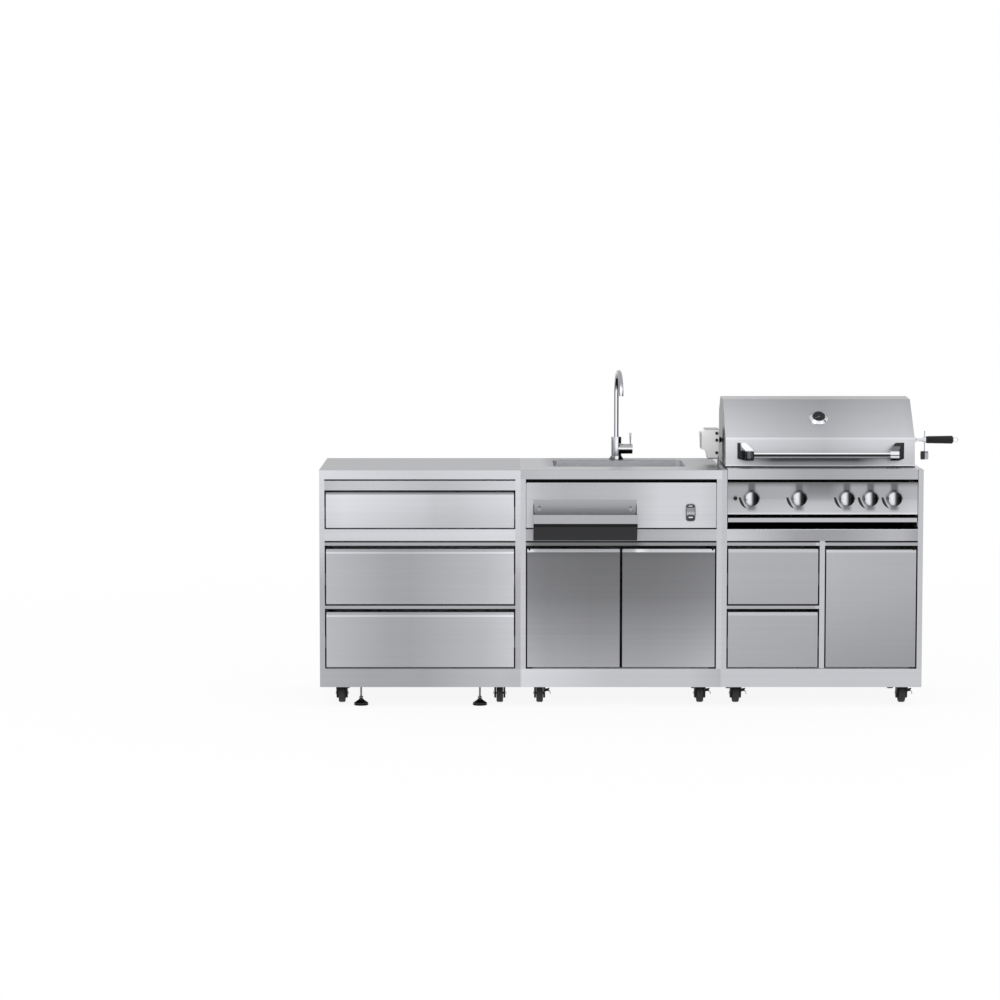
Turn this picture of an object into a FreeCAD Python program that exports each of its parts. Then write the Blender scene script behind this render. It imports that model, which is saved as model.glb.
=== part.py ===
import FreeCAD, Part
import math
import os

# Outdoor kitchen island: a drawer module, a sink module and a grill module in one run.
# X runs from the island's left end to its right, Y from the front plane back, Z up from
# the floor, all in millimetres. The finished pieces are moved to the island's own origin,
# the middle of the floor under its overall box.

V = FreeCAD.Vector

# Module run
MODULE_W = 813.0
CABINET_D = 640.0
WORKTOP_OVERHANG = 10.0
SHEET = 1.5
LINER_T = 1.0
SIDE_T = 21.0
RAIL_D = 20.0
FRONT_T = 18.0
SIDE_REVEAL = 6.0

# Heights of the front, from the floor up
PLINTH_Z = 79.0
PLINTH_H = 75.0
REVEAL = 7.0
FRONT_H = 223.0
FINGER_GAP = 14.0
STRIP_H = 13.0
RAIL_H = 47.0
RAIL_REVEAL = 6.0
TOP_FRONT_H = 144.0
TOP_FINGER_GAP = 8.0
TOP_RAIL_H = 38.0
WORKTOP_REVEAL = 7.0
WORKTOP_T = 37.0
FASCIA_GAP = 14.0
FASCIA_SIDE_GAP = 3.0

# Folded details
STRIP_RECESS = 2.0
STRIP_LEAN = 3.0
BEVEL_D = 9.0
BEVEL_H = 13.0
STRETCHER_D = 40.0
STRETCHER_H = 20.0
FRONT_STRETCHER_Y = 60.0
REAR_STRETCHER_INSET = 65.0

# Drawers and their runners
BOX_D = 540.0
BOX_LIFT = 12.0
BOX_DROP = 40.0
RUNNER_T = 12.5
RUNNER_H = 45.0
RUNNER_LEN = 500.0
RUNNER_SET = 10.0
RUNNER_PLAY = 0.4

# Doors on pivots
PIN_R = 4.0
PIN_PLAY = 0.05
PIN_ENGAGE = 18.0
BRACKET_T = 3.0
BRACKET_L = 27.0
BLOCK_T = 14.0

# Base frames, casters and levelling feet
BEARER_D = 80.0
BEARER_SHEET = 3.0
AXLE_Y = 125.0
CASTER_TRAIL = 25.0
CASTER_INSETS = (84.0, 79.0, 67.0)
WHEEL_R = 37.5
WHEEL_W = 27.0
WHEEL_PLAY = 1.2
AXLE_R = 4.0
AXLE_PLAY = 0.05
CHEEK_T = 8.0
CHEEK_R = 20.0
FORK_CROWN = 8.0
RACE_R = 24.0
RACE_GAP = 0.4
PLATE_T = 3.0
PLATE_SIDE = 66.0
PLATE_Z = 105.0
PEDAL_L = 20.0
FOOT_INSET = 165.0
FOOT_Y = 45.0
FOOT_R = 29.0
FOOT_H = 26.0
STUD_R = 4.0
STUD_TOP = 20.0
TIE_R = 4.5
TIE_INSET_Y = 70.0
TIE_INSET_Z = 70.0

# Sink, drain and faucet
BOWL_W = 540.0
BOWL_GAP = 85.0
BOWL_Y = 180.0
BOWL_H = 190.0
BOWL_CORNER = 25.0
BOWL_FLANGE = 14.0
DRAIN_R = 45.0
STRAINER_R = 55.0
TAIL_R = 19.0
TAIL_H = 90.0
DRAIN_CUP_H = 28.0
LOCK_NUT_H = 9.0
FAUCET_BACK = 40.0
FLANGE_R = 31.5
FLANGE_H = 13.0
COLUMN_R = 21.5
COLUMN_H = 94.0
SHANK_R = 16.0
SHANK_H = 60.0
PIPE_R = 9.6
PIPE_PLAY = 0.3
SPOUT_TOP = 380.0
SPOUT_END = 275.0
SPOUT_REACH = 190.0
SPOUT_TURN = 4.0
BARREL_R = 21.0
BARREL_X = 48.0
BARREL_Z = 43.0
CAP_L = 20.0
LEVER_R = 4.7
LEVER_H = 47.0

# Bottle tray and bottle opener on the sink fascia
TRAY_X = 51.0
TRAY_W = 418.0
TRAY_BOTTOM = 680.0
TRAY_TOP = 842.0
TRAY_REACH = 100.0
TRAY_FLOOR = 48.0
TRAY_LIP_Z = 754.0
TRAY_LIP_H = 35.0
TRAY_SCREW_Z = 815.0
TRAY_SCREW_INSET = 24.5
TRAY_SCREW_R = 3.0
TRAY_SCREW_HEAD = 6.5
OPENER_X = 686.0
OPENER_Z = 755.0
OPENER_W = 38.0
OPENER_H = 70.0
OPENER_D = 20.0

# Grill head
BAND_TOP = 966.0
BAND_H = 42.0
DECK_GAP = 1.5
FIREBOX_X = 46.0
FIREBOX_Y = 100.0
FIREBOX_L = 370.0
FIREBOX_Z = 788.0
FIREBOX_T = 2.0
HANGER_W = 40.0
PANEL_FACE_Y = 6.0
PANEL_H = 130.0
PANEL_DROP = 12.0
KNOB_SHARES = (0.1476, 0.3838, 0.62, 0.738, 0.856)
KNOB_DOWN = 65.0
KNOB_R = 29.0
KNOB_D = 34.0
BEZEL_R = 33.0
BEZEL_D = 9.0
STEM_R = 3.0
STEM_PLAY = 0.05
IGNITER_X = 54.0
IGNITER_R = 8.0
IGNITER_TRAVEL = 4.0
IGNITER_PLAY = 0.3
DRIP_Z = 751.0
DRIP_H = 17.0
DRIP_D = 500.0
DRIP_GAP = 4.0
LEDGE_PLAY = 0.3
MANIFOLD_Y = 50.0
MANIFOLD_R = 9.0
STRAP_W = 20.0
PIPE_OUT_R = 6.4
INLET_R = 7.9
INLET_L = 20.0
INLET_NUT_R = 11.0
INLET_INSET = 34.0
INLET_BACK = 90.0
BURNER_R = 13.0
BURNER_T = 2.0
BURNER_DROP = 116.0
VENTURI_R = 9.0
VENTURI_Y = 63.0
PORT_PLAY = 0.3
REAR_BURNER_D = 22.0
REAR_BURNER_W = 440.0
REAR_BURNER_H = 86.0
TENT_W = 120.0
TENT_H = 40.0
TENT_DROP = 86.0
GRATE_T = 8.0
GRATE_DROP = 22.0
GRATE_COUNT = 3
GRATE_GAP = 4.0
GRATE_BAR = 8.0
GRATE_SLOT = 12.0
GRATE_RIM = 14.0
RACK_UP = 78.0
RACK_D = 100.0
RACK_T = 5.0

# Hood, its handle and thermometer
HOOD_LEFT = 19.5
HOOD_RIGHT = 24.0
HOOD_T = 2.0
HOOD_GAP = 2.0
HOOD_FRONT_Y = 100.0
HOOD_CREASE = (10.0, 112.0)
HOOD_BROW = (185.0, 263.0)
HOOD_CROWN = (FIREBOX_L - 40.0, 269.0)
HOOD_REAR = (FIREBOX_L + 40.0, 207.0)
HOOD_VENT = 32.0
HOOD_HEEL = 25.0
PIVOT_IN = 20.0
PIVOT_UP = 24.0
PIVOT_R = 5.0
PIVOT_PLAY = 0.08
EAR_T = 4.0
HANDLE_L = 677.0
HANDLE_R = 11.5
HANDLE_WALL = 2.0
HANDLE_Z = 1017.0
HANDLE_OUT = 55.0
POST_W = 34.0
POST_SPREAD = 28.0
POST_FOOT = 8.0
POST_LOW = 17.0
POST_HIGH = 48.0
SOCKET_R = 21.0
GAUGE_R = 38.5
GAUGE_D = 12.0
GAUGE_DIAL_R = 27.0
GAUGE_STEM_R = 4.0
GAUGE_UP = 0.52

# Rotisserie
SPIT_Y = 300.0
SPIT_Z = 1064.0
SPIT_R = 5.0
SLOT_PLAY = 6.0
MOTOR_W = 74.0
MOTOR_D = 104.0
MOTOR_UP = 47.0
MOTOR_DOWN = 75.0
BRACKET_SHEET = 2.0
COUPLING_R = 11.0
COUPLING_L = 9.0
BUSHING_R = 12.5
NECK_R = 7.0
BALANCE_OUT = 40.0
BALANCE_R = 2.2
WEIGHT_R = 17.5
WEIGHT_L = 29.0
WEIGHT_DROP = 64.5
BALANCE_UP = 36.0
GRIP_OUT = 45.5
GRIP_L = 111.0
GRIP_R = 14.5
GRIP_END_R = 16.5
RING_R = 9.5
RING_WIRE = 1.6

# Worked out from the sizes above
ISLAND_L = 3 * MODULE_W
WORKTOP_D = CABINET_D + WORKTOP_OVERHANG
CARCASS_Z = PLINTH_Z + PLINTH_H
ROW1_Z = CARCASS_Z + REVEAL
ROW1_TOP = ROW1_Z + FRONT_H
STRIP1_Z = ROW1_TOP + FINGER_GAP
ROW2_Z = STRIP1_Z + STRIP_H + REVEAL
ROW2_TOP = ROW2_Z + FRONT_H
STRIP2_Z = ROW2_TOP + FINGER_GAP
RAIL_Z = STRIP2_Z + STRIP_H + REVEAL
ROW3_Z = RAIL_Z + RAIL_H + RAIL_REVEAL
ROW3_TOP = ROW3_Z + TOP_FRONT_H
TOP_RAIL_Z = ROW3_TOP + TOP_FINGER_GAP
APRON_Z = TOP_RAIL_Z + TOP_RAIL_H + WORKTOP_REVEAL
WORKTOP_Z = APRON_Z + WORKTOP_T
OPENING_W = MODULE_W - 2 * SIDE_T
SINK_X = MODULE_W
GRILL_X = 2 * MODULE_W
FAUCET_Y = CABINET_D - FAUCET_BACK
BOWL_L = FAUCET_Y - BOWL_GAP - BOWL_Y
HALF_OPENING = (OPENING_W - SIDE_T) / 2
DIVIDER_X = GRILL_X + SIDE_T + HALF_OPENING
DOOR_W = (OPENING_W - 2 * SIDE_REVEAL - REVEAL) / 2
HALF_FRONT_W = HALF_OPENING - 2 * SIDE_REVEAL
BAND_Z = BAND_TOP - BAND_H
PANEL_TOP = BAND_Z - PANEL_DROP
KNOB_Z = PANEL_TOP - KNOB_DOWN
HOOD_Z = BAND_TOP + HOOD_GAP
HOOD_W = MODULE_W - HOOD_LEFT - HOOD_RIGHT
HOOD_X = GRILL_X + HOOD_LEFT
GRILL_MIDDLE = GRILL_X + MODULE_W / 2
RACK_Y = FIREBOX_Y + FIREBOX_L - RACK_D
PIVOT_Y = HOOD_FRONT_Y + HOOD_REAR[0] - PIVOT_IN
PIVOT_Z = BAND_TOP + PIVOT_UP
GRIP_X = ISLAND_L + GRIP_OUT
ISLAND_RIGHT = GRIP_X + GRIP_L + 2 * (RING_R + RING_WIRE)
FORK_W = WHEEL_W + 2 * (WHEEL_PLAY + CHEEK_T)
REAR_AXLE_Y = CABINET_D - AXLE_Y
SWIVEL_Y = AXLE_Y - CASTER_TRAIL
ORIGIN = V(ISLAND_RIGHT / 2, (WORKTOP_D - TRAY_REACH) / 2, 0)


def box(x0, x1, y0, y1, z0, z1):
    return Part.makeBox(x1 - x0, y1 - y0, z1 - z0, V(x0, y0, z0))


def prism(points, along):
    """A closed outline of 3-D points, swept along a vector."""
    wire = Part.makePolygon(points + [points[0]])
    return Part.Face(wire).extrude(along)


def prism_x(outline, x0, x1):
    return prism([V(x0, y, z) for y, z in outline], V(x1 - x0, 0, 0))


def prism_y(outline, y0, y1):
    return prism([V(x, y0, z) for x, z in outline], V(0, y1 - y0, 0))


def prism_z(outline, z0, z1):
    return prism([V(x, y, z0) for x, y in outline], V(0, 0, z1 - z0))


def rod(start, along, radius):
    return Part.makeCylinder(radius, along.Length, start, along)


def turned(outline, centre, axis):
    """A solid of revolution from (radius, distance along the axis) points."""
    wire = Part.makePolygon([V(r, 0, h) for r, h in outline + [outline[0]]])
    solid = Part.Face(wire).revolve(V(0, 0, 0), V(0, 0, 1), 360)
    solid.Placement = FreeCAD.Placement(centre, FreeCAD.Rotation(V(0, 0, 1), axis))
    return Part.Solid(solid) if solid.ShapeType == "Shell" else solid


def mirrored_x(shape, x):
    return shape.mirror(V(x, 0, 0), V(1, 0, 0))


def pan(x0, x1, y0, y1, z0, z1, open_side):
    """A folded sheet tray whose four returns run to the open side, such as +x or -y."""
    cut = [x0, x1, y0, y1, z0, z1]
    for face, sign in enumerate((1, -1, 1, -1, 1, -1)):
        cut[face] += sign * SHEET
    axis = "xyz".index(open_side[1])
    face = 2 * axis + (1 if open_side[0] == "+" else 0)
    cut[face] = (x0, x1, y0, y1, z0, z1)[face]
    return box(x0, x1, y0, y1, z0, z1).cut(box(*cut))


def side_panel(x0, z0, z1, open_side):
    """A double-skinned side: the pan faces out and a flat liner closes it."""
    x1 = x0 + SIDE_T
    shell = pan(x0, x1, 0, CABINET_D, z0, z1, open_side)
    liner_x = x1 - LINER_T if open_side == "+x" else x0
    y0, y1 = SHEET, CABINET_D - SHEET
    liner = box(liner_x, liner_x + LINER_T, y0, y1, z0 + SHEET, z1 - SHEET)
    return [shell, liner]


def rail(x0, x1, z0, height):
    """A folded channel across the front, open to the back."""
    z1 = z0 + height
    outline = [(0, z0), (RAIL_D, z0), (RAIL_D, z0 + SHEET), (SHEET, z0 + SHEET),
               (SHEET, z1 - SHEET), (RAIL_D, z1 - SHEET), (RAIL_D, z1), (0, z1)]
    return prism_x(outline, x0, x1)


def finger_strip(x0, x1, z0):
    """The thin strip over a finger gap: a leaning face with a return at its top."""
    z1 = z0 + STRIP_H
    top, foot = STRIP_RECESS, STRIP_RECESS + STRIP_LEAN
    outline = [(foot, z0), (foot + SHEET, z0), (top + SHEET, z1 - SHEET),
               (RAIL_D, z1 - SHEET), (RAIL_D, z1), (top, z1)]
    return prism_x(outline, x0, x1)


def stretcher(x0, x1, y0):
    """A folded channel across the top of a carcass, open below."""
    y1, z1 = y0 + STRETCHER_D, APRON_Z
    z0 = z1 - STRETCHER_H
    outline = [(y0, z0), (y0 + SHEET, z0), (y0 + SHEET, z1 - SHEET), (y1 - SHEET, z1 - SHEET),
               (y1 - SHEET, z0), (y1, z0), (y1, z1), (y0, z1)]
    return prism_x(outline, x0, x1)


def carcass(x, side_top):
    """Two sides, a floor, a back and the rear top stretcher of one module."""
    inner0, inner1 = x + SIDE_T, x + MODULE_W - SIDE_T
    solids = side_panel(x, CARCASS_Z, side_top, "+x")
    solids += side_panel(inner1, CARCASS_Z, side_top, "-x")
    back_y = CABINET_D - SHEET
    solids.append(box(inner0, inner1, RAIL_D, back_y, CARCASS_Z, CARCASS_Z + SHEET))
    solids.append(box(inner0, inner1, back_y, CABINET_D, CARCASS_Z, APRON_Z))
    rear_y = CABINET_D - REAR_STRETCHER_INSET - STRETCHER_D
    solids.append(stretcher(inner0, inner1, rear_y))
    return solids


def drilled_for_ties(solids, x0, x1):
    """Cuts the four bolt holes that join one module to the next through both skins."""
    holes = [rod(V(x0, y, z), V(x1 - x0, 0, 0), TIE_R) for y, z in tie_points()]
    return [solid.cut(holes) for solid in solids]


def tie_points():
    low, high = CARCASS_Z + TIE_INSET_Z, APRON_Z - TIE_INSET_Z
    near, far = TIE_INSET_Y, CABINET_D - TIE_INSET_Y
    return [(y, z) for y in (near, far) for z in (low, high)]


def drawer_cabinet():
    inner0, inner1 = SIDE_T, MODULE_W - SIDE_T
    solids = carcass(0, APRON_Z)
    solids[:2] = drilled_for_ties(solids[:2], 0, SIDE_T)
    solids.append(stretcher(inner0, inner1, FRONT_STRETCHER_Y))
    solids.append(rail(inner0, inner1, RAIL_Z, RAIL_H))
    solids.append(rail(inner0, inner1, TOP_RAIL_Z, TOP_RAIL_H))
    solids += [finger_strip(inner0, inner1, z) for z in (STRIP1_Z, STRIP2_Z)]
    return solids


def sink_cabinet():
    inner0, inner1 = SINK_X + SIDE_T, SINK_X + MODULE_W - SIDE_T
    solids = carcass(SINK_X, APRON_Z)
    solids.append(stretcher(inner0, inner1, FRONT_STRETCHER_Y))
    solids.append(rail(inner0, inner1, RAIL_Z, RAIL_H))
    solids.append(finger_strip(inner0, inner1, STRIP2_Z))
    # Flat cleats inside both sides carry the fascia.
    for x0 in (inner0, inner1 - HANGER_W):
        top = APRON_Z - FASCIA_GAP
        solids.append(box(x0, x0 + HANGER_W, RAIL_D, RAIL_D + SHEET, ROW3_Z, top))
    return solids


def angle_y(x0, x1, y0, y1, z_top, drop):
    """A ledge that runs front to back: a flat top and a flange down the side it hangs on."""
    low = box(x0, x1, y0, y1, z_top - SHEET, z_top)
    wall_x = x0 if drop > 0 else x1 - SHEET
    return low.fuse(box(wall_x, wall_x + SHEET, y0, y1, z_top - abs(drop), z_top)).removeSplitter()


def grill_cabinet():
    inner0, inner1 = GRILL_X + SIDE_T, GRILL_X + MODULE_W - SIDE_T
    solids = carcass(GRILL_X, WORKTOP_Z)
    solids.append(rail(inner0, inner1, RAIL_Z, RAIL_H))
    solids.append(finger_strip(inner0, DIVIDER_X, STRIP1_Z))
    solids.append(finger_strip(inner0, DIVIDER_X, STRIP2_Z))
    solids.append(finger_strip(DIVIDER_X + SIDE_T, inner1, STRIP2_Z))
    # The divider's front edge is the stile between the drawers and the door.
    divider = side_panel(DIVIDER_X, CARCASS_Z + SHEET, RAIL_Z, "+x")
    front_only = box(DIVIDER_X, DIVIDER_X + SIDE_T, 0, CABINET_D - SHEET, 0, RAIL_Z)
    solids += [piece.common(front_only) for piece in divider]
    for x0, drop in ((inner0, STRETCHER_H), (inner1 - HANGER_W, -STRETCHER_H)):
        front, rear = FIREBOX_Y - STRETCHER_D, FIREBOX_Y + FIREBOX_L + STRETCHER_D
        solids.append(angle_y(x0, x0 + HANGER_W, front, rear, FIREBOX_Z, drop))
    # Ledges that the drip tray slides on.
    for x0, drop in ((inner0, STRETCHER_H), (inner1 - STRETCHER_D / 2, -STRETCHER_H)):
        top = DRIP_Z - LEDGE_PLAY
        solids.append(angle_y(x0, x0 + STRETCHER_D / 2, RAIL_D, DRIP_D, top, drop))
    return solids


def bearer(x0, x1, y0):
    """A folded channel under the floor that the casters bolt to, open above."""
    y1, z0, z1, t = y0 + BEARER_D, PLATE_Z, CARCASS_Z, BEARER_SHEET
    outline = [(y0, z0), (y1, z0), (y1, z1), (y1 - t, z1), (y1 - t, z0 + t),
               (y0 + t, z0 + t), (y0 + t, z1), (y0, z1)]
    return prism_x(outline, x0, x1)


def base_frame(x):
    """Front and rear plinths, side skirts between them and two caster bearers."""
    x1, z0, z1 = x + MODULE_W, PLINTH_Z, CARCASS_Z
    rear = CABINET_D - RAIL_D
    solids = [pan(x, x1, 0, RAIL_D, z0, z1, "+y")]
    solids.append(pan(x, x1, rear, CABINET_D, z0, z1, "-y"))
    solids.append(pan(x, x + SIDE_T, RAIL_D, rear, z0, z1, "+x"))
    solids.append(pan(x1 - SIDE_T, x1, RAIL_D, rear, z0, z1, "-x"))
    for centre in (SWIVEL_Y, REAR_AXLE_Y):
        solids.append(bearer(x + SIDE_T, x1 - SIDE_T, centre - BEARER_D / 2))
    return solids


def foot_bracket(x, y0, y1, foot_y):
    """A flat bracket between a plinth and a bearer, threaded for a foot's stud."""
    half = STRETCHER_D / 2
    plate = box(x - half, x + half, y0, y1, PLATE_Z, PLATE_Z + BEARER_SHEET)
    return plate.cut(rod(V(x, foot_y, 0), V(0, 0, CARCASS_Z), STUD_R))


def foot_points():
    front = [(x, FOOT_Y) for x in (FOOT_INSET, MODULE_W - FOOT_INSET)]
    return front + [(x, CABINET_D - y) for x, y in front]


def base_frames():
    solids = []
    for x in (0, SINK_X, GRILL_X):
        solids += base_frame(x)
    for x, y in foot_points():
        front = y < CABINET_D / 2
        near = SWIVEL_Y - BEARER_D / 2
        far = REAR_AXLE_Y + BEARER_D / 2
        span = (SHEET, near) if front else (far, CABINET_D - SHEET)
        solids.append(foot_bracket(x, span[0], span[1], y))
    return solids


def levelling_feet():
    """Studs on a ball, each with a jam nut under its bracket and a moulded foot."""
    solids = []
    for x, y in foot_points():
        skirt = [(0, 0), (FOOT_R, 0), (FOOT_R, FOOT_H * 0.35), (FOOT_R * 0.36, FOOT_H * 0.85),
                 (FOOT_R * 0.3, FOOT_H), (0, FOOT_H)]
        solids.append(turned(skirt, V(x, y, 0), V(0, 0, 1)))
        top = PLATE_Z + BEARER_SHEET + STUD_TOP
        ball_z = FOOT_H + STUD_R
        stud = rod(V(x, y, FOOT_H), V(0, 0, top - FOOT_H), STUD_R)
        ball = [(0, 0), (STUD_R, 0), (2 * STUD_R, STUD_R), (2 * STUD_R, 2 * STUD_R),
                (STUD_R, 3 * STUD_R), (0, 3 * STUD_R)]
        solids.append(stud.fuse(turned(ball, V(x, y, ball_z - STUD_R), V(0, 0, 1))))
        nut = [(x + 2 * STUD_R * math.cos(a), y + 2 * STUD_R * math.sin(a))
               for a in (math.radians(60 * i) for i in range(6))]
        jam = prism_z(nut, PLATE_Z - 1.6 * STUD_R, PLATE_Z)
        solids.append(jam.cut(rod(V(x, y, 0), V(0, 0, CARCASS_Z), STUD_R)))
    return solids


def caster_points():
    """Left-right positions of the casters, module by module."""
    points = []
    for i, inset in enumerate(CASTER_INSETS):
        points += [i * MODULE_W + inset, (i + 1) * MODULE_W - inset]
    return points


def fork(x, y_head, y_axle, top, head_r):
    """A hooded fork: two cheeks over the wheel, bridged above it up to its head."""
    half = FORK_W / 2
    crown = 2 * WHEEL_R + WHEEL_PLAY + FORK_CROWN
    side = math.copysign(1, y_axle - y_head) if y_axle != y_head else 1
    outer = y_axle + side * CHEEK_R
    inner = y_axle - side * CHEEK_R
    head = y_head - side * head_r
    back = y_head + side * (head_r if y_axle == y_head else head_r + CASTER_TRAIL / 2)
    outline = [(inner, WHEEL_R), (outer, WHEEL_R), (back, crown - FORK_CROWN), (back, crown),
               (head, crown), (head, crown - FORK_CROWN)]
    body = prism_x(outline, x - half, x + half)
    body = body.fuse(rod(V(x - half, y_axle, WHEEL_R), V(FORK_W, 0, 0), CHEEK_R))
    gap = WHEEL_W / 2 + WHEEL_PLAY
    reach = WHEEL_R + WHEEL_PLAY
    well = box(x - gap, x + gap, y_axle - 2 * WHEEL_R, y_axle + 2 * WHEEL_R, 0, WHEEL_R + reach)
    body = body.cut(well)
    body = body.fuse(rod(V(x, y_head, crown), V(0, 0, top - crown), head_r))
    bore = rod(V(x - half, y_axle, WHEEL_R), V(FORK_W, 0, 0), AXLE_R)
    return body.cut(bore).removeSplitter()


def front_fork(x, with_brake):
    top = PLATE_Z - PLATE_T - RACE_GAP
    solids = [fork(x, SWIVEL_Y, AXLE_Y, top, RACE_R)]
    solids.append(rod(V(x - FORK_W / 2, AXLE_Y, WHEEL_R), V(FORK_W, 0, 0), AXLE_R))
    if with_brake:
        # A leaf pedal on the right cheek, split at its end.
        x0 = x + FORK_W / 2
        z = WHEEL_R + CHEEK_R * 0.6
        tab = [(x0, z - 5), (x0 + PEDAL_L * 0.5, z - 3), (x0 + PEDAL_L, z - 6),
               (x0 + PEDAL_L * 0.7, z + 1), (x0 + PEDAL_L * 0.9, z + 8),
               (x0 + PEDAL_L * 0.4, z + 6), (x0, z + 5)]
        solids.append(prism_y(tab, AXLE_Y - CHEEK_R * 0.5, AXLE_Y + CHEEK_R * 0.4))
    return solids


def wheel(x, y):
    """A tread with rounded shoulders over a recessed hub, bored for its axle."""
    r, half = WHEEL_R, WHEEL_W / 2
    bore = AXLE_R + AXLE_PLAY
    outline = [(bore, -half), (r * 0.4, -half), (r * 0.48, -half + 3), (r * 0.74, -half + 3),
               (r * 0.8, -half), (r - 3.5, -half), (r, -half + 4), (r, half - 4),
               (r - 3.5, half), (r * 0.8, half), (r * 0.74, half - 3), (r * 0.48, half - 3),
               (r * 0.4, half), (bore, half)]
    return turned(outline, V(x, y, r), V(1, 0, 0))


def caster_plates():
    """Twelve bolt plates: the front ones carry a kingpin, the rear ones a rigid fork."""
    solids = []
    half = PLATE_SIDE / 2
    z0 = PLATE_Z - PLATE_T
    for x in caster_points():
        solids.append(box(x - half, x + half, SWIVEL_Y - half, SWIVEL_Y + half, z0, PLATE_Z))
        rear = box(x - half, x + half, REAR_AXLE_Y - half, REAR_AXLE_Y + half, z0, PLATE_Z)
        solids.append(rear.fuse(fork(x, REAR_AXLE_Y, REAR_AXLE_Y, z0, RACE_R)).removeSplitter())
        start = V(x - FORK_W / 2, REAR_AXLE_Y, WHEEL_R)
        solids.append(rod(start, V(FORK_W, 0, 0), AXLE_R))
    return solids


def worktop_shell(x):
    """A folded worktop: the sheet and its four aprons."""
    shell = pan(x, x + MODULE_W, 0, WORKTOP_D, APRON_Z, WORKTOP_Z, "-z")
    return shell


def bowl_x():
    return SINK_X + (MODULE_W - BOWL_W) / 2


def rounded_slab(x0, x1, y0, y1, z0, z1, radius):
    slab = box(x0, x1, y0, y1, z0, z1)
    upright = [e for e in slab.Edges if abs(e.tangentAt(e.FirstParameter).z) > 0.5]
    return slab.makeFillet(radius, upright)


def sink_worktop():
    x0 = bowl_x()
    hole = rounded_slab(x0, x0 + BOWL_W, BOWL_Y, BOWL_Y + BOWL_L, WORKTOP_Z - WORKTOP_T,
                        WORKTOP_Z + SHEET, BOWL_CORNER)
    tap = rod(V(SINK_X + MODULE_W / 2, FAUCET_Y, APRON_Z), V(0, 0, 2 * WORKTOP_T), SHANK_R)
    return worktop_shell(SINK_X).cut([hole, tap])


def sink_bowl():
    """A pressed bowl under the worktop, with a flange round its rim and a drain hole."""
    x0, x1 = bowl_x(), bowl_x() + BOWL_W
    y0, y1 = BOWL_Y, BOWL_Y + BOWL_L
    top = WORKTOP_Z - SHEET
    t = SHEET
    outer = rounded_slab(x0 - t, x1 + t, y0 - t, y1 + t, top - BOWL_H, top, BOWL_CORNER + t)
    rim = rounded_slab(x0 - BOWL_FLANGE, x1 + BOWL_FLANGE, y0 - BOWL_FLANGE, y1 + BOWL_FLANGE,
                       top - t, top, BOWL_CORNER + BOWL_FLANGE)
    inner = rounded_slab(x0, x1, y0, y1, top - BOWL_H + t, top + t, BOWL_CORNER)
    centre = V((x0 + x1) / 2, (y0 + y1) / 2, top - BOWL_H - t)
    drain = rod(centre, V(0, 0, 3 * t), DRAIN_R)
    return outer.fuse(rim).cut([inner, drain]).removeSplitter()


def sink_drain():
    """A strainer basket seated in the bowl's hole, its lock nut and its tailpiece."""
    r, t = DRAIN_R - 1, SHEET
    neck, outlet = -DRAIN_CUP_H, -DRAIN_CUP_H - TAIL_H
    floor = V(bowl_x() + BOWL_W / 2, BOWL_Y + BOWL_L / 2, WORKTOP_Z - BOWL_H)
    outline = [(TAIL_R - t, outlet), (TAIL_R, outlet), (TAIL_R, neck - t), (r, neck + 4), (r, 0),
               (STRAINER_R, 0), (STRAINER_R - t, t), (r - t, t), (r - 2 * t, neck + 8),
               (TAIL_R - t, neck + t)]
    nut = [(r, -t - LOCK_NUT_H), (STRAINER_R - 4, -t - LOCK_NUT_H), (STRAINER_R, -t), (r, -t)]
    return [turned(shape, floor, V(0, 0, 1)) for shape in (outline, nut)]


def faucet_x():
    return SINK_X + MODULE_W / 2


def faucet_body():
    """Flange, column and side barrel in one casting, and the nut under the worktop."""
    x, y, z = faucet_x(), FAUCET_Y, WORKTOP_Z
    flange = [(0, 0), (FLANGE_R, 0), (FLANGE_R, 2.5), (FLANGE_R - 3, 5), (COLUMN_R + 1.5, FLANGE_H),
              (COLUMN_R + 1.5, FLANGE_H + 2), (COLUMN_R, FLANGE_H + 2),
              (COLUMN_R, COLUMN_H - 1.5), (COLUMN_R - 1.5, COLUMN_H), (0, COLUMN_H)]
    body = turned(flange, V(x, y, z), V(0, 0, 1))
    body = body.fuse(rod(V(x, y, z - SHANK_H), V(0, 0, SHANK_H), SHANK_R))
    body = body.fuse(rod(V(x, y, z + BARREL_Z), V(BARREL_X, 0, 0), BARREL_R))
    socket = rod(V(x, y, z + COLUMN_H - 2 * PIPE_R), V(0, 0, 3 * PIPE_R), PIPE_R + PIPE_PLAY)
    body = body.cut(socket).removeSplitter()
    nut = [(x + 1.7 * SHANK_R * math.cos(a), y + 1.7 * SHANK_R * math.sin(a))
           for a in (math.radians(60 * i) for i in range(6))]
    low = z - SHEET - SHANK_R / 2
    lock = prism_z(nut, low, z - SHEET).cut(rod(V(x, y, low), V(0, 0, SHANK_R), SHANK_R))
    return [body, lock]


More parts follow.
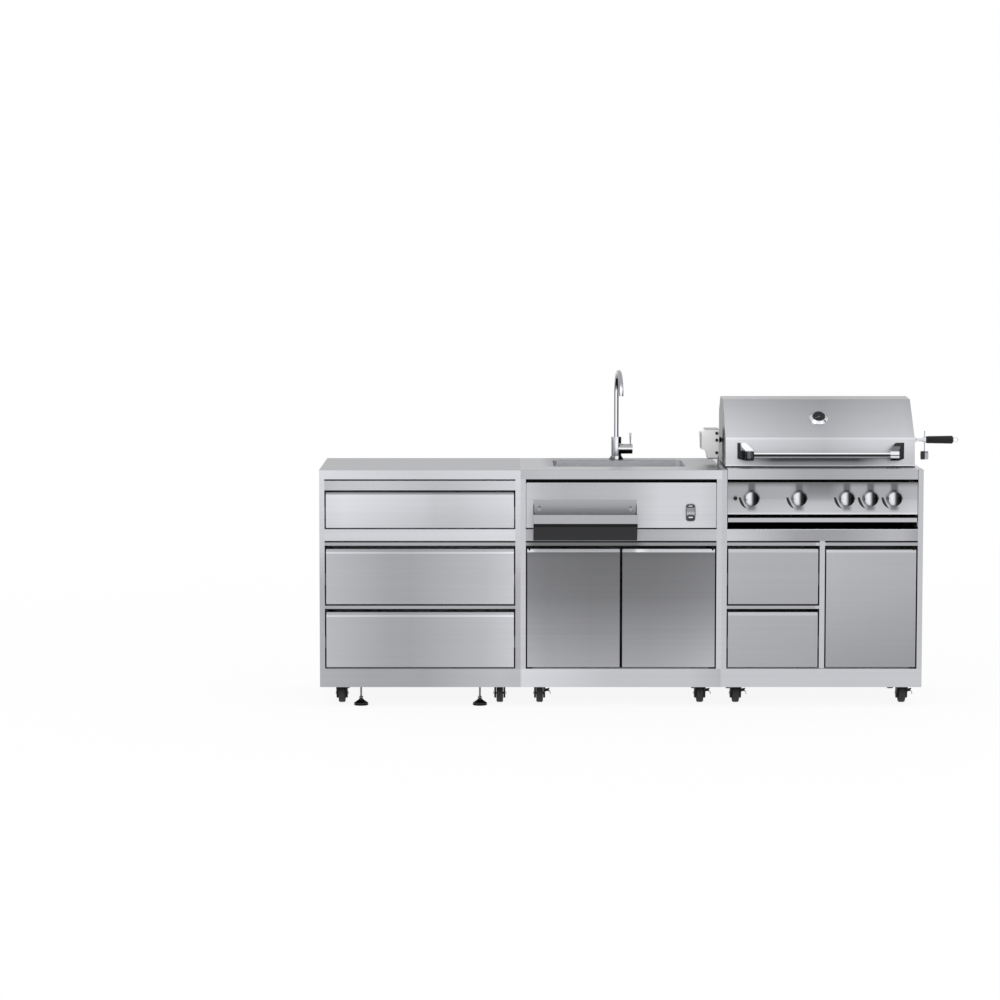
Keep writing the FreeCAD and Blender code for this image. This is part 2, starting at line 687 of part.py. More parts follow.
def faucet_spout():
    """A gooseneck: straight up, a half turn forward and a short outlet."""
    x, y, z = faucet_x(), FAUCET_Y, WORKTOP_Z
    foot = V(x, y, z + COLUMN_H - 2 * PIPE_R + PIPE_PLAY)
    bend_r = SPOUT_REACH / 2
    bend_z = z + SPOUT_TOP - PIPE_R - bend_r
    turn = math.radians(SPOUT_TURN)
    forward = V(math.sin(turn), -math.cos(turn), 0)
    top = V(x, y, bend_z)
    centre = top + forward * bend_r
    crown = centre + V(0, 0, bend_r)
    outlet = top + forward * SPOUT_REACH
    end = V(outlet.x, outlet.y, z + SPOUT_END)
    path = Part.Wire([Part.LineSegment(foot, top).toShape(),
                      Part.Arc(top, crown, outlet).toShape(),
                      Part.LineSegment(outlet, end).toShape()])
    ring = Part.Wire(Part.makeCircle(PIPE_R, foot, V(0, 0, 1)))
    bore = Part.Wire(Part.makeCircle(PIPE_R - SHEET, foot, V(0, 0, 1)))
    tube = path.makePipeShell([ring], True, False)
    hole = path.makePipeShell([bore], True, False)
    return tube.cut(hole)


def faucet_lever():
    """The end cap of the barrel with its upright lever."""
    x = faucet_x() + BARREL_X + PIPE_PLAY
    y, z = FAUCET_Y, WORKTOP_Z + BARREL_Z
    rim = [(0, 0), (BARREL_R, 0), (BARREL_R, CAP_L - 1.5), (BARREL_R - 1.5, CAP_L), (0, CAP_L)]
    cap = turned(rim, V(x, y, z), V(1, 0, 0))
    foot = V(x + CAP_L * 0.55, y, z + BARREL_R / 2)
    length = BARREL_R / 2 + LEVER_H
    grip = [(0, 0), (LEVER_R * 0.62, 0), (LEVER_R * 0.62, BARREL_R / 2 + 4),
            (LEVER_R, length - 2), (LEVER_R - 1, length), (0, length)]
    return cap.fuse(turned(grip, foot, V(0, 0, 1)))


def sink_fascia():
    x0 = SINK_X + SIDE_T + FASCIA_SIDE_GAP
    x1 = SINK_X + MODULE_W - SIDE_T - FASCIA_SIDE_GAP
    face = pan(x0, x1, 0, RAIL_D, ROW3_Z, APRON_Z - FASCIA_GAP, "+y")
    holes = [rod(V(x, -SHEET, TRAY_SCREW_Z), V(0, RAIL_D, 0), TRAY_SCREW_R)
             for x in tray_screws()]
    return face.cut(holes)


def tray_screws():
    x0 = SINK_X + TRAY_X
    return [x0 + TRAY_SCREW_INSET, x0 + TRAY_W - TRAY_SCREW_INSET]


def bottle_tray():
    """A speed rail: back plate, floor, sloping front with an upright lip, and two ends."""
    x0, x1 = SINK_X + TRAY_X, SINK_X + TRAY_X + TRAY_W
    t, reach, lip = SHEET, TRAY_REACH, TRAY_LIP_Z + TRAY_LIP_H
    outer = [(0, TRAY_BOTTOM), (-TRAY_FLOOR, TRAY_BOTTOM), (-reach, TRAY_LIP_Z),
             (-reach, lip), (0, lip)]
    inner = [(-t, TRAY_BOTTOM + t), (t - TRAY_FLOOR, TRAY_BOTTOM + t),
             (t - reach, TRAY_LIP_Z + t), (t - reach, lip + t), (-t, lip + t)]
    trough = prism_x(outer, x0, x1).cut(prism_x(inner, x0 + t, x1 - t))
    trough = trough.fuse(box(x0, x1, -t, 0, TRAY_BOTTOM, TRAY_TOP)).removeSplitter()
    keyholes, screws = [], []
    for x in tray_screws():
        slot = box(x - TRAY_SCREW_R, x + TRAY_SCREW_R, -2 * t, t,
                   TRAY_SCREW_Z - 2 * TRAY_SCREW_HEAD, TRAY_SCREW_Z)
        keyholes.append(slot)
        keyholes.append(rod(V(x, -2 * t, TRAY_SCREW_Z), V(0, 3 * t, 0), TRAY_SCREW_R))
        low = TRAY_SCREW_Z - 2 * TRAY_SCREW_HEAD
        keyholes.append(rod(V(x, -2 * t, low), V(0, 3 * t, 0), TRAY_SCREW_HEAD + 1))
        head = [(0, 0), (TRAY_SCREW_R, 0), (TRAY_SCREW_R, 10), (TRAY_SCREW_HEAD, 10),
                (TRAY_SCREW_HEAD - 1, 13), (0, 13.5)]
        screws.append(turned(head, V(x, 10 - t, TRAY_SCREW_Z), V(0, -1, 0)))
    return [trough.cut(keyholes)] + screws


def bottle_opener():
    """A cast opener: a rounded body on the fascia, hollow at both ends, with its cap catch."""
    x0 = SINK_X + OPENER_X - OPENER_W / 2
    x1, z0, z1 = x0 + OPENER_W, OPENER_Z, OPENER_Z + OPENER_H
    block = box(x0, x1, -OPENER_D, 0, z0, z1)
    upright = [e for e in block.Edges if abs(e.tangentAt(e.FirstParameter).y) > 0.5]
    block = block.makeFillet(OPENER_W * 0.3, upright)
    wall, half, mid = 3.5, OPENER_D / 2, (x0 + x1) / 2
    lip, catch_z = z0 + OPENER_H * 0.34, z0 + OPENER_H * 0.2
    side = [(0, z0), (-half, z0), (-half, lip - 4), (-OPENER_D, lip), (-OPENER_D, lip + 8),
            (-half, z1 - 16), (-half, z1), (0, z1)]
    body = block.common(prism_x(side, x0, x1))
    mouth = rounded_front(x0 + wall, x1 - wall, z0 + wall, lip + 5, -OPENER_D, -wall)
    pocket = rounded_front(x0 + wall + 2, x1 - wall - 2, z1 - 15, z1 - wall, -OPENER_D, -wall)
    catch = prism_x([(-wall, catch_z), (-half - 3, catch_z), (-half - 5, catch_z + 5),
                     (-wall, catch_z + 3)], mid - OPENER_W * 0.22, mid + OPENER_W * 0.22)
    return body.cut([mouth, pocket]).fuse(catch).removeSplitter()


def rounded_front(x0, x1, z0, z1, y0, y1):
    """A slot seen from the front whose ends are rounded."""
    slot = box(x0, x1, y0, y1, z0, z1)
    edges = [e for e in slot.Edges if abs(e.tangentAt(e.FirstParameter).y) > 0.5]
    return slot.makeFillet(0.42 * min(x1 - x0, z1 - z0), edges)


def front_pan(x0, x1, z0, z1):
    """A folded front with its finger-pull bevel along the top, and the liner behind it."""
    t = SHEET
    outer = [(0, z0), (0, z1 - BEVEL_H), (BEVEL_D, z1), (FRONT_T, z1), (FRONT_T, z0)]
    inner = [(t, z0 + t), (t, z1 - BEVEL_H), (BEVEL_D + t * 0.5, z1 - t), (FRONT_T, z1 - t),
             (FRONT_T, z0 + t)]
    shell = prism_x(outer, x0, x1).cut(prism_x(inner, x0 + t, x1 - t))
    liner = box(x0 + t, x1 - t, FRONT_T - LINER_T, FRONT_T, z0 + t, z1 - t)
    return [shell, liner]


def drawer(opening_x, opening_w, z0, z1):
    """A front, the box behind it and the two runner members on the box's sides."""
    solids = front_pan(opening_x + SIDE_REVEAL, opening_x + opening_w - SIDE_REVEAL, z0, z1)
    x0, x1 = opening_x + RUNNER_T, opening_x + opening_w - RUNNER_T
    solids.append(pan(x0, x1, FRONT_T, FRONT_T + BOX_D, z0 + BOX_LIFT, z1 - BOX_DROP, "+z"))
    mid = runner_z(z0, z1)
    half = RUNNER_H / 2 - SHEET - RUNNER_PLAY
    y0 = FRONT_T + RUNNER_SET
    for side, edge in ((-1, x0), (1, x1)):
        near, far = sorted((edge, edge + side * (RUNNER_T - 3 * SHEET)))
        member = pan(near, far, y0, y0 + RUNNER_LEN, mid - half, mid + half,
                     "+x" if side < 0 else "-x")
        solids.append(member)
    return solids


def runner_z(z0, z1):
    """The height of a drawer's runners: the middle of its box."""
    return (z0 + BOX_LIFT + z1 - BOX_DROP) / 2


def drawer_bays():
    """Every drawer as its name, opening, left edge and heights."""
    wide = (SIDE_T, OPENING_W)
    slim = (GRILL_X + SIDE_T, HALF_OPENING)
    return {
        "top_drawer": wide + (ROW3_Z, ROW3_TOP),
        "middle_drawer": wide + (ROW2_Z, ROW2_TOP),
        "bottom_drawer": wide + (ROW1_Z, ROW1_TOP),
        "upper_grill_drawer": slim + (ROW2_Z, ROW2_TOP),
        "lower_grill_drawer": slim + (ROW1_Z, ROW1_TOP),
    }


def drawer_runners():
    """Outer runner channels, screwed to the carcass and open towards the drawer."""
    solids = []
    for x, width, z0, z1 in drawer_bays().values():
        mid = runner_z(z0, z1)
        y0, t = FRONT_T + RUNNER_SET, SHEET
        low, high, reach = mid - RUNNER_H / 2, mid + RUNNER_H / 2, RUNNER_T - 2 * SHEET
        outline = [(x, low), (x + reach, low), (x + reach, low + t), (x + t, low + t),
                   (x + t, high - t), (x + reach, high - t), (x + reach, high), (x, high)]
        left = prism_y(outline, y0, y0 + RUNNER_LEN)
        solids += [left, mirrored_x(left, x + width / 2)]
    return solids


def pivot_x(side_x, direction):
    """The pivot stands half a front's thickness in from the door's hinged edge."""
    return side_x + direction * (SIDE_REVEAL + FRONT_T / 2)


def door(x0, x1, hinge_x):
    """A full-height front with bored pivot blocks in its top and bottom corners."""
    y, t = FRONT_T / 2, SHEET
    bore = rod(V(hinge_x, y, 0), V(0, 0, APRON_Z), PIN_R + PIN_PLAY)
    inward = 1 if hinge_x - x0 < x1 - hinge_x else -1
    corner = hinge_x - inward * (FRONT_T / 2 - t)
    near, far = sorted((corner, corner + inward * (FRONT_T + BLOCK_T / 2)))
    low, high = ROW1_Z + t, ROW2_TOP - BEVEL_H
    solids = front_pan(x0, x1, ROW1_Z, ROW2_TOP)
    solids[0] = solids[0].cut(bore)
    for z in (low, high - PIN_ENGAGE):
        block = box(near, far, t, FRONT_T - LINER_T, z, z + PIN_ENGAGE)
        solids.append(block.cut(bore))
    return solids


def doors():
    left = SINK_X + SIDE_T
    right = SINK_X + MODULE_W - SIDE_T
    grill = GRILL_X + MODULE_W - SIDE_T
    return {
        "sink_door_left": (left + SIDE_REVEAL, left + SIDE_REVEAL + DOOR_W, pivot_x(left, 1)),
        "sink_door_right": (right - SIDE_REVEAL - DOOR_W, right - SIDE_REVEAL,
                            pivot_x(right, -1)),
        "grill_door": (grill - SIDE_REVEAL - HALF_FRONT_W, grill - SIDE_REVEAL,
                       pivot_x(grill, -1)),
    }


def door_hinges():
    """Per door a bracket on the plinth and one under the finger strip, each with its pin."""
    solids = []
    y = FRONT_T / 2
    y0, y1 = STRIP_RECESS + STRIP_LEAN, RAIL_D
    for x0, x1, x in doors().values():
        side = -1 if x - x0 < x1 - x else 1
        wall = x + side * (SIDE_REVEAL + FRONT_T / 2)
        xa, xb = sorted((wall, wall - side * BRACKET_L))
        low = box(xa, xb, y0, y1, CARCASS_Z, CARCASS_Z + BRACKET_T)
        pin = rod(V(x, y, CARCASS_Z), V(0, 0, REVEAL + PIN_ENGAGE), PIN_R)
        solids.append(low.fuse(pin))
        high = box(xa, xb, y0, y1, STRIP2_Z - BRACKET_T, STRIP2_Z)
        drop = FINGER_GAP + BEVEL_H + PIN_ENGAGE * 0.7
        solids.append(high.fuse(rod(V(x, y, STRIP2_Z), V(0, 0, -drop), PIN_R)))
    return solids


def firebox():
    """Front band and deck, the box under it, ledges, hood ears and the spit's rest."""
    gx0, gx1 = GRILL_X + SIDE_T + DECK_GAP, GRILL_X + MODULE_W - SIDE_T - DECK_GAP
    x0, x1 = GRILL_X + FIREBOX_X, GRILL_X + MODULE_W - FIREBOX_X
    y0, y1 = FIREBOX_Y, FIREBOX_Y + FIREBOX_L
    t, s, top = FIREBOX_T, SHEET, BAND_TOP
    under = top - s
    band = prism_x([(0, BAND_Z), (RAIL_D, BAND_Z), (RAIL_D, BAND_Z + s), (s, BAND_Z + s),
                    (s, under), (y0 + t, under), (y0 + t, top), (0, top)], gx0, gx1)
    rear = prism_x([(y1 - t, under), (CABINET_D - s, under), (CABINET_D - s, APRON_Z),
                    (CABINET_D, APRON_Z), (CABINET_D, top), (y1 - t, top)], gx0, gx1)
    solids = [band, rear]
    solids.append(box(gx0, x0 + t, y0 + t, y1 - t, under, top))
    solids.append(box(x1 - t, gx1, y0 + t, y1 - t, under, top))
    ports = [rod(V(x, y0, burner_z()), V(0, t, 0), VENTURI_R + PORT_PLAY)
             for x in burner_points()]
    solids.append(box(x0, x1, y0, y0 + t, FIREBOX_Z, under).cut(ports))
    solids.append(box(x0, x1, y1 - t, y1, FIREBOX_Z, under))
    solids.append(box(x0, x0 + t, y0 + t, y1 - t, FIREBOX_Z, under))
    solids.append(box(x1 - t, x1, y0 + t, y1 - t, FIREBOX_Z, under))
    for drop in (GRATE_DROP, TENT_DROP, BURNER_DROP):
        z1 = under - drop - (GRATE_T if drop == GRATE_DROP else 0)
        for ya in (y0 + t, y1 - t - 12):
            solids.append(box(x0 + t, x1 - t, ya, ya + 12, z1 - 2 * s, z1))
    ear = [(PIVOT_Y - 14, top), (PIVOT_Y + 7, top), (PIVOT_Y + 8, PIVOT_Z + 4),
           (PIVOT_Y + 3, PIVOT_Z + 9), (PIVOT_Y - 6, PIVOT_Z + 9), (PIVOT_Y - 14, PIVOT_Z)]
    inner = HOOD_X + HOOD_T + 1.0
    left = prism_x(ear, inner, inner + EAR_T)
    left = left.fuse(rod(V(HOOD_X - 1, PIVOT_Y, PIVOT_Z), V(inner - HOOD_X + 2, 0, 0), PIVOT_R))
    solids += [left.removeSplitter(), mirrored_x(left.removeSplitter(), HOOD_X + HOOD_W / 2)]
    solids.append(spit_rest(x1 + 4))
    return solids


def spit_rest(x):
    """An upright inside the hood whose notch carries the spit's right end."""
    half, notch = 20.0, SPIT_R + 0.3
    plate = box(x, x + EAR_T, SPIT_Y - half, SPIT_Y + half, BAND_TOP, SPIT_Z + SPIT_R)
    slot = box(x, x + EAR_T, SPIT_Y - notch, SPIT_Y + notch, SPIT_Z, SPIT_Z + 2 * notch)
    return plate.cut([slot, rod(V(x, SPIT_Y, SPIT_Z), V(EAR_T, 0, 0), notch)])


def knob_points():
    return [GRILL_X + share * MODULE_W for share in KNOB_SHARES]


def control_panel():
    """The folded panel, a bezel round each knob and the igniter's collar."""
    x0, x1 = GRILL_X + SIDE_T + DECK_GAP, GRILL_X + MODULE_W - SIDE_T - DECK_GAP
    y, s, z1 = PANEL_FACE_Y, SHEET, PANEL_TOP
    z0 = z1 - PANEL_H
    outline = [(y, z0), (y + 30, z0), (y + 30, z0 + s), (y + s, z0 + s), (y + s, z1 - s),
               (FIREBOX_Y, z1 - s), (FIREBOX_Y, z1), (y, z1)]
    panel = prism_x(outline, x0, x1)
    holes = [rod(V(x, 0, KNOB_Z), V(0, 2 * y, 0), 3 * STEM_R) for x in knob_points()]
    ix = GRILL_X + IGNITER_X
    grip = IGNITER_R + IGNITER_PLAY
    holes.append(rod(V(ix, 0, KNOB_Z), V(0, 2 * y, 0), grip))
    solids = [panel.cut(holes)]
    ring = [(KNOB_R - 6, 0), (BEZEL_R, 0), (BEZEL_R, 2.5), (BEZEL_R - 3, BEZEL_D),
            (KNOB_R - 4, BEZEL_D), (KNOB_R - 6, BEZEL_D - 2)]
    solids += [turned(ring, V(x, y, KNOB_Z), V(0, -1, 0)) for x in knob_points()]
    collar = [(grip, 0), (grip + 5, 0), (grip + 4, 3), (grip, 3)]
    solids.append(turned(collar, V(ix, y, KNOB_Z), V(0, -1, 0)))
    return solids


def knob(x):
    """A domed knob with a grip waist, bored for its valve stem."""
    back = PANEL_FACE_Y - BEZEL_D - 1.0
    r, d = KNOB_R, KNOB_D
    bore = STEM_R + STEM_PLAY
    outline = [(bore, 0), (r - 3, 0), (r, 3), (r, d * 0.45), (r * 0.93, d * 0.72),
               (r * 0.72, d * 0.9), (r * 0.4, d * 0.98), (0, d), (0, d * 0.6), (bore, d * 0.6)]
    return turned(outline, V(x, back, KNOB_Z), V(0, -1, 0))


def igniter_button():
    x = GRILL_X + IGNITER_X
    r = IGNITER_R
    outline = [(0, -12), (r, -12), (r, IGNITER_TRAVEL + 4), (r - 2, IGNITER_TRAVEL + 6),
               (0, IGNITER_TRAVEL + 7)]
    return turned(outline, V(x, PANEL_FACE_Y, KNOB_Z), V(0, -1, 0))


def inlet_x():
    return GRILL_X + MODULE_W - INLET_INSET


def gas_burners():
    """Manifold strapped to the firebox, a valve and stem per knob, and the burners."""
    y, z = MANIFOLD_Y, KNOB_Z
    x0, x1 = GRILL_X + FIREBOX_X, inlet_x()
    manifold = rod(V(x0, y, z), V(x1 - x0 + PIPE_OUT_R, 0, 0), MANIFOLD_R)
    end = CABINET_D - INLET_BACK
    outline = [(0, 0), (PIPE_OUT_R, 0), (PIPE_OUT_R, end - INLET_L - y - 10),
               (INLET_NUT_R, end - INLET_L - y - 10), (INLET_NUT_R, end - INLET_L - y),
               (INLET_R, end - INLET_L - y), (INLET_R, end - y), (0, end - y)]
    inlet = turned(outline, V(x1, y, z), V(0, 1, 0))
    straps = [box(x, x + STRAP_W, y, FIREBOX_Y, z - SHEET, z + SHEET)
              for x in (x0 + STRAP_W, (x0 + x1) / 2, x1 - 3 * STRAP_W)]
    pipe = manifold.fuse([inlet] + straps).removeSplitter()
    solids = [pipe]
    tip = PANEL_FACE_Y - BEZEL_D - 1.0 - KNOB_D * 0.5
    for x in knob_points():
        front = y - MANIFOLD_R
        valve = box(x - 9, x + 9, front - 18, front + 3, z - 9, z + 9).cut(pipe)
        stem = rod(V(x, tip, z), V(0, front - 18 - tip, 0), STEM_R)
        solids.append(valve.fuse(stem))
    solids += [burner(x) for x in burner_points()]
    # The rear burner stands on the deck behind the warming rack.
    mid, half = GRILL_MIDDLE, REAR_BURNER_W / 2
    back = FIREBOX_Y + FIREBOX_L + REAR_BURNER_D + 4
    solids.append(box(mid - half, mid + half, back - REAR_BURNER_D, back, BAND_TOP,
                      BAND_TOP + REAR_BURNER_H))
    return solids


def burner(x):
    """A capped tube along the firebox, necked down where it passes the front wall."""
    y0, y1 = FIREBOX_Y + FIREBOX_T, FIREBOX_Y + FIREBOX_L - FIREBOX_T
    r, neck, t = BURNER_R, VENTURI_R, BURNER_T
    outline = [(neck - t, VENTURI_Y), (neck, VENTURI_Y), (neck, y0 + 6), (r, y0 + 20),
               (r, y1 - 1), (0, y1 - 1), (0, y1 - 1 - t), (r - t, y1 - 1 - t),
               (r - t, y0 + 21), (neck - t, y0 + 7)]
    return turned(outline, V(x, 0, burner_z()), V(0, 1, 0))


def burner_z():
    return BAND_TOP - SHEET - BURNER_DROP + BURNER_R


def burner_points():
    inner = MODULE_W - 2 * FIREBOX_X
    return [GRILL_X + FIREBOX_X + inner * (i + 0.5) / 4 for i in range(4)]


def flame_tents():
    """Folded V covers over the burners, each resting on the front and rear ledges."""
    y0, y1 = FIREBOX_Y + FIREBOX_T + 0.5, FIREBOX_Y + FIREBOX_L - FIREBOX_T - 0.5
    z, half, h, t = BAND_TOP - SHEET - TENT_DROP, TENT_W / 2, TENT_H, SHEET
    solids = []
    for x in burner_points():
        outline = [(x - half, z), (x, z + h), (x + half, z), (x + half - 2 * t, z),
                   (x, z + h - 1.5 * t), (x - half + 2 * t, z)]
        solids.append(prism_y(outline, y0, y1))
    return solids


def slotted_plate(x0, x1, y0, y1, z0, z1, rim):
    """A flat grid: bars run front to back inside a rim, with one cross bar."""
    count = int((x1 - x0 - 2 * rim + GRATE_BAR) // (GRATE_BAR + GRATE_SLOT))
    pitch = (x1 - x0 - 2 * rim + GRATE_BAR) / count
    middle = (y0 + y1) / 2
    slots = []
    for i in range(count):
        xa = x0 + rim + i * pitch
        slots.append(box(xa, xa + pitch - GRATE_BAR, y0 + rim, middle - rim / 4, z0, z1))
        slots.append(box(xa, xa + pitch - GRATE_BAR, middle + rim / 4, y1 - rim, z0, z1))
    return box(x0, x1, y0, y1, z0, z1).cut(slots)


def cooking_grates():
    x0, x1 = GRILL_X + FIREBOX_X + FIREBOX_T, GRILL_X + MODULE_W - FIREBOX_X - FIREBOX_T
    y0, y1 = FIREBOX_Y + FIREBOX_T + 0.5, FIREBOX_Y + FIREBOX_L - FIREBOX_T - 0.5
    z1 = BAND_TOP - SHEET - GRATE_DROP
    width = (x1 - x0 - (GRATE_COUNT + 1) * GRATE_GAP) / GRATE_COUNT
    solids = []
    for i in range(GRATE_COUNT):
        xa = x0 + GRATE_GAP + i * (width + GRATE_GAP)
        solids.append(slotted_plate(xa, xa + width, y0, y1, z1 - GRATE_T, z1, GRATE_RIM))
    return solids


def warming_rack():
    """A raised grid on two end frames that stand on the deck."""
    x0, x1 = HOOD_X + HOOD_T + 6, HOOD_X + HOOD_W - HOOD_T - 6
    y0, y1 = RACK_Y, RACK_Y + RACK_D
    z = BAND_TOP + RACK_UP
    grid = slotted_plate(x0, x1, y0, y1, z - RACK_T, z, GRATE_RIM)
    legs = []
    for xa in (x0, x1 - RACK_T):
        leg = box(xa, xa + RACK_T, y0, y1, BAND_TOP, z - RACK_T)
        gap = box(xa, xa + RACK_T, y0 + RACK_T, y1 - RACK_T, BAND_TOP + RACK_T, z - 2 * RACK_T)
        legs.append(leg.cut(gap))
    return [grid] + legs


def drip_tray():
    x0, x1 = GRILL_X + SIDE_T + DRIP_GAP, GRILL_X + MODULE_W - SIDE_T - DRIP_GAP
    return pan(x0, x1, 0, DRIP_D, DRIP_Z, DRIP_Z + DRIP_H, "+z")


def hood_outline():
    """The hood's side profile, anticlockwise from its lower front edge."""
    y, z = HOOD_FRONT_Y, HOOD_Z
    corners = [(0, 0), HOOD_CREASE, HOOD_BROW, HOOD_CROWN, HOOD_REAR,
               (HOOD_REAR[0], HOOD_VENT), (HOOD_REAR[0] - HOOD_HEEL, 0)]
    return [(y + dy, z + dz) for dy, dz in corners]


def hood():
    """A wrapped sheet between two end panels, slotted so that they lift off the spit."""
    x0, x1, t = HOOD_X, HOOD_X + HOOD_W, HOOD_T
    outer = hood_outline()
    wire = Part.makePolygon([V(x0 + t, y, z) for y, z in outer + [outer[0]]])
    core = Part.Face(wire).makeOffset2D(-t, join=2).extrude(V(HOOD_W - 2 * t, 0, 0))
    front, rear = HOOD_FRONT_Y + t, HOOD_FRONT_Y + HOOD_REAR[0]
    mouth = box(x0, x1, front, rear, HOOD_Z, HOOD_Z + 2 * t)
    vent = box(x0, x1, rear - HOOD_HEEL - t, rear, HOOD_Z, HOOD_Z + HOOD_VENT)
    centre, normal = gauge_place()
    gauge_hole = rod(centre - normal * 20, normal * 40, GAUGE_STEM_R)
    wrap = prism_x(outer, x0 + t, x1 - t).cut([core, mouth, vent, gauge_hole])
    pivot = rod(V(x0, PIVOT_Y, PIVOT_Z), V(HOOD_W, 0, 0), PIVOT_R + PIVOT_PLAY)
    ends = [prism_x(outer, xa, xa + t).cut([spit_slot(), pivot]) for xa in (x0, x1 - t)]
    return [wrap] + ends


def spit_slot():
    """The path of the spit in the hood's end panels while the hood swings open."""
    dy, dz = SPIT_Y - PIVOT_Y, SPIT_Z - PIVOT_Z
    reach = math.hypot(dy, dz)
    half = SPIT_R + SLOT_PLAY
    start = math.atan2(dz, dy)
    stop = math.pi + math.asin((PIVOT_Z - HOOD_Z + half) / reach)
    x0 = HOOD_X
    along = V(HOOD_W, 0, 0)
    centre = V(x0, PIVOT_Y, PIVOT_Z)
    ring = rod(centre, along, reach + half).cut(rod(centre, along, reach - half))
    far = 2 * reach
    fan = [(PIVOT_Y, PIVOT_Z)]
    for i in range(4):
        a = start + (stop - start) * i / 3
        fan.append((PIVOT_Y + far * math.cos(a), PIVOT_Z + far * math.sin(a)))
    slot = ring.common(prism_x(fan, x0, x0 + HOOD_W))
    return slot.fuse(rod(V(x0, SPIT_Y, SPIT_Z), along, half))


def gauge_place():
    """Centre and outward normal of the thermometer on the hood's slope."""
    y0, z0 = HOOD_CREASE
    y1, z1 = HOOD_BROW
    y = HOOD_FRONT_Y + y0 + (y1 - y0) * GAUGE_UP
    z = HOOD_Z + z0 + (z1 - z0) * GAUGE_UP
    normal = V(0, -(z1 - z0), y1 - y0).normalize()
    return V(GRILL_MIDDLE, y, z), normal


def thermometer():
    centre, normal = gauge_place()
    r, d, dial = GAUGE_R, GAUGE_D, GAUGE_DIAL_R
    outline = [(0, 0), (r, 0), (r, d * 0.35), (dial + 3, d), (dial, d), (dial, d * 0.75),
               (0, d * 0.75)]
    body = turned(outline, centre, normal)
    stem = rod(centre - normal * 45, normal * 45, GAUGE_STEM_R)
    return body.fuse(stem)


def hood_front_y(z):
    """The hood's front face at a height below its crease."""
    return HOOD_FRONT_Y + HOOD_CREASE[0] * (z - HOOD_Z) / HOOD_CREASE[1]


def hood_handle():
    """A round bar in two cast posts whose arms spread outwards from sockets to the hood."""
    middle = GRILL_MIDDLE
    x0 = middle - HANDLE_L / 2
    z0, z1 = HANDLE_Z - POST_LOW, HANDLE_Z + POST_HIGH
    bar_y = hood_front_y(HANDLE_Z) - HANDLE_OUT
    cup_x = x0 + POST_SPREAD
    top = hood_front_y(z1)
    side = [(hood_front_y(z0), z0), (top, z1), (top - POST_FOOT, z1), (bar_y, HANDLE_Z + SOCKET_R),
            (bar_y, HANDLE_Z - SOCKET_R), (hood_front_y(z0) - POST_FOOT, z0)]
    back = top + 1
    foot = top - POST_FOOT
    plan = [(x0, back), (x0 + POST_W, back), (x0 + POST_W, foot), (cup_x + POST_W, bar_y),
            (cup_x, bar_y), (x0, foot)]
    arm = prism_x(side, x0, middle).common(prism_z(plan, z0 - SOCKET_R, z1))
    post = arm.fuse(rod(V(cup_x, bar_y, HANDLE_Z), V(POST_W, 0, 0), SOCKET_R)).removeSplitter()
    start = cup_x + POST_W / 2
    bar = rod(V(start, bar_y, HANDLE_Z), V(2 * (middle - start), 0, 0), HANDLE_R)
    hollow = rod(V(start, bar_y, HANDLE_Z), V(2 * (middle - start), 0, 0),
                 HANDLE_R - HANDLE_WALL)
    left = post.cut(bar)
    return [left, mirrored_x(left, middle), bar.cut(hollow)]


def rotisserie_motor():
    """The motor's moulded housing, its bracket on the grill's side and the drive socket."""
    plate_x = GRILL_X + BRACKET_SHEET
    x1, z = plate_x, SPIT_Z
    x0 = x1 - MOTOR_W
    top, low = z + MOTOR_UP, z - MOTOR_DOWN
    outline = [(x1, top), (x0 + 18, top), (x0, top - 17), (x0 + 2, low + 40),
               (x0 + 22, low + 32), (x0 + 27, low + 13), (x0 + 30, low), (x1 - 9, low),
               (x1, low + 15)]
    y0, y1 = SPIT_Y - MOTOR_D / 2, SPIT_Y + MOTOR_D / 2
    housing = prism_y(outline, y0, y1)
    socket_r = SPIT_R + 0.3
    socket = rod(V(x1 - 22, SPIT_Y, z), V(40, 0, 0), socket_r)
    plate = box(plate_x, plate_x + BRACKET_SHEET, y0 + 6, y1 - 6, WORKTOP_Z, z + 40)
    foot = box(plate_x, GRILL_X + SIDE_T - 3, y0 + 6, y1 - 6, WORKTOP_Z,
               WORKTOP_Z + BRACKET_SHEET)
    bracket = plate.fuse(foot).removeSplitter()
    return [housing.cut(socket), bracket.cut(socket)]


def spit_rod():
    """The spit with its bushing, balance rod, counterweight and hanging ring."""
    y, z = SPIT_Y, SPIT_Z
    x0 = GRILL_X + BRACKET_SHEET - 21
    hood_end = HOOD_X + HOOD_W
    bal_x = ISLAND_L + BALANCE_OUT
    b0 = hood_end + 5
    collar = NECK_R + 3
    drive = HOOD_X - 3 - COUPLING_L
    outline = [(0, 0), (SPIT_R, 0), (SPIT_R, drive - x0), (COUPLING_R, drive - x0),
               (COUPLING_R, drive + COUPLING_L - x0), (SPIT_R, drive + COUPLING_L - x0),
               (SPIT_R, b0 - x0), (BUSHING_R, b0 - x0),
               (BUSHING_R, b0 + 18 - x0), (NECK_R, b0 + 27 - x0), (NECK_R, bal_x - 8 - x0),
               (collar, bal_x - 8 - x0), (collar, GRIP_X - x0), (0, GRIP_X - x0)]
    body = turned(outline, V(x0, y, z), V(1, 0, 0))
    low = WEIGHT_DROP - WEIGHT_R
    cross = rod(V(bal_x, y, z - low - 2), V(0, 0, low + 2 + BALANCE_UP), BALANCE_R)
    weight = rod(V(bal_x - WEIGHT_L / 2, y, z - WEIGHT_DROP), V(WEIGHT_L, 0, 0), WEIGHT_R)
    ring_x = GRIP_X + GRIP_L + RING_R + RING_WIRE
    ring = Part.makeTorus(RING_R, RING_WIRE, V(ring_x, y, z), V(0, 1, 0))
    return [body.fuse(cross).removeSplitter(), weight.cut(cross), ring]


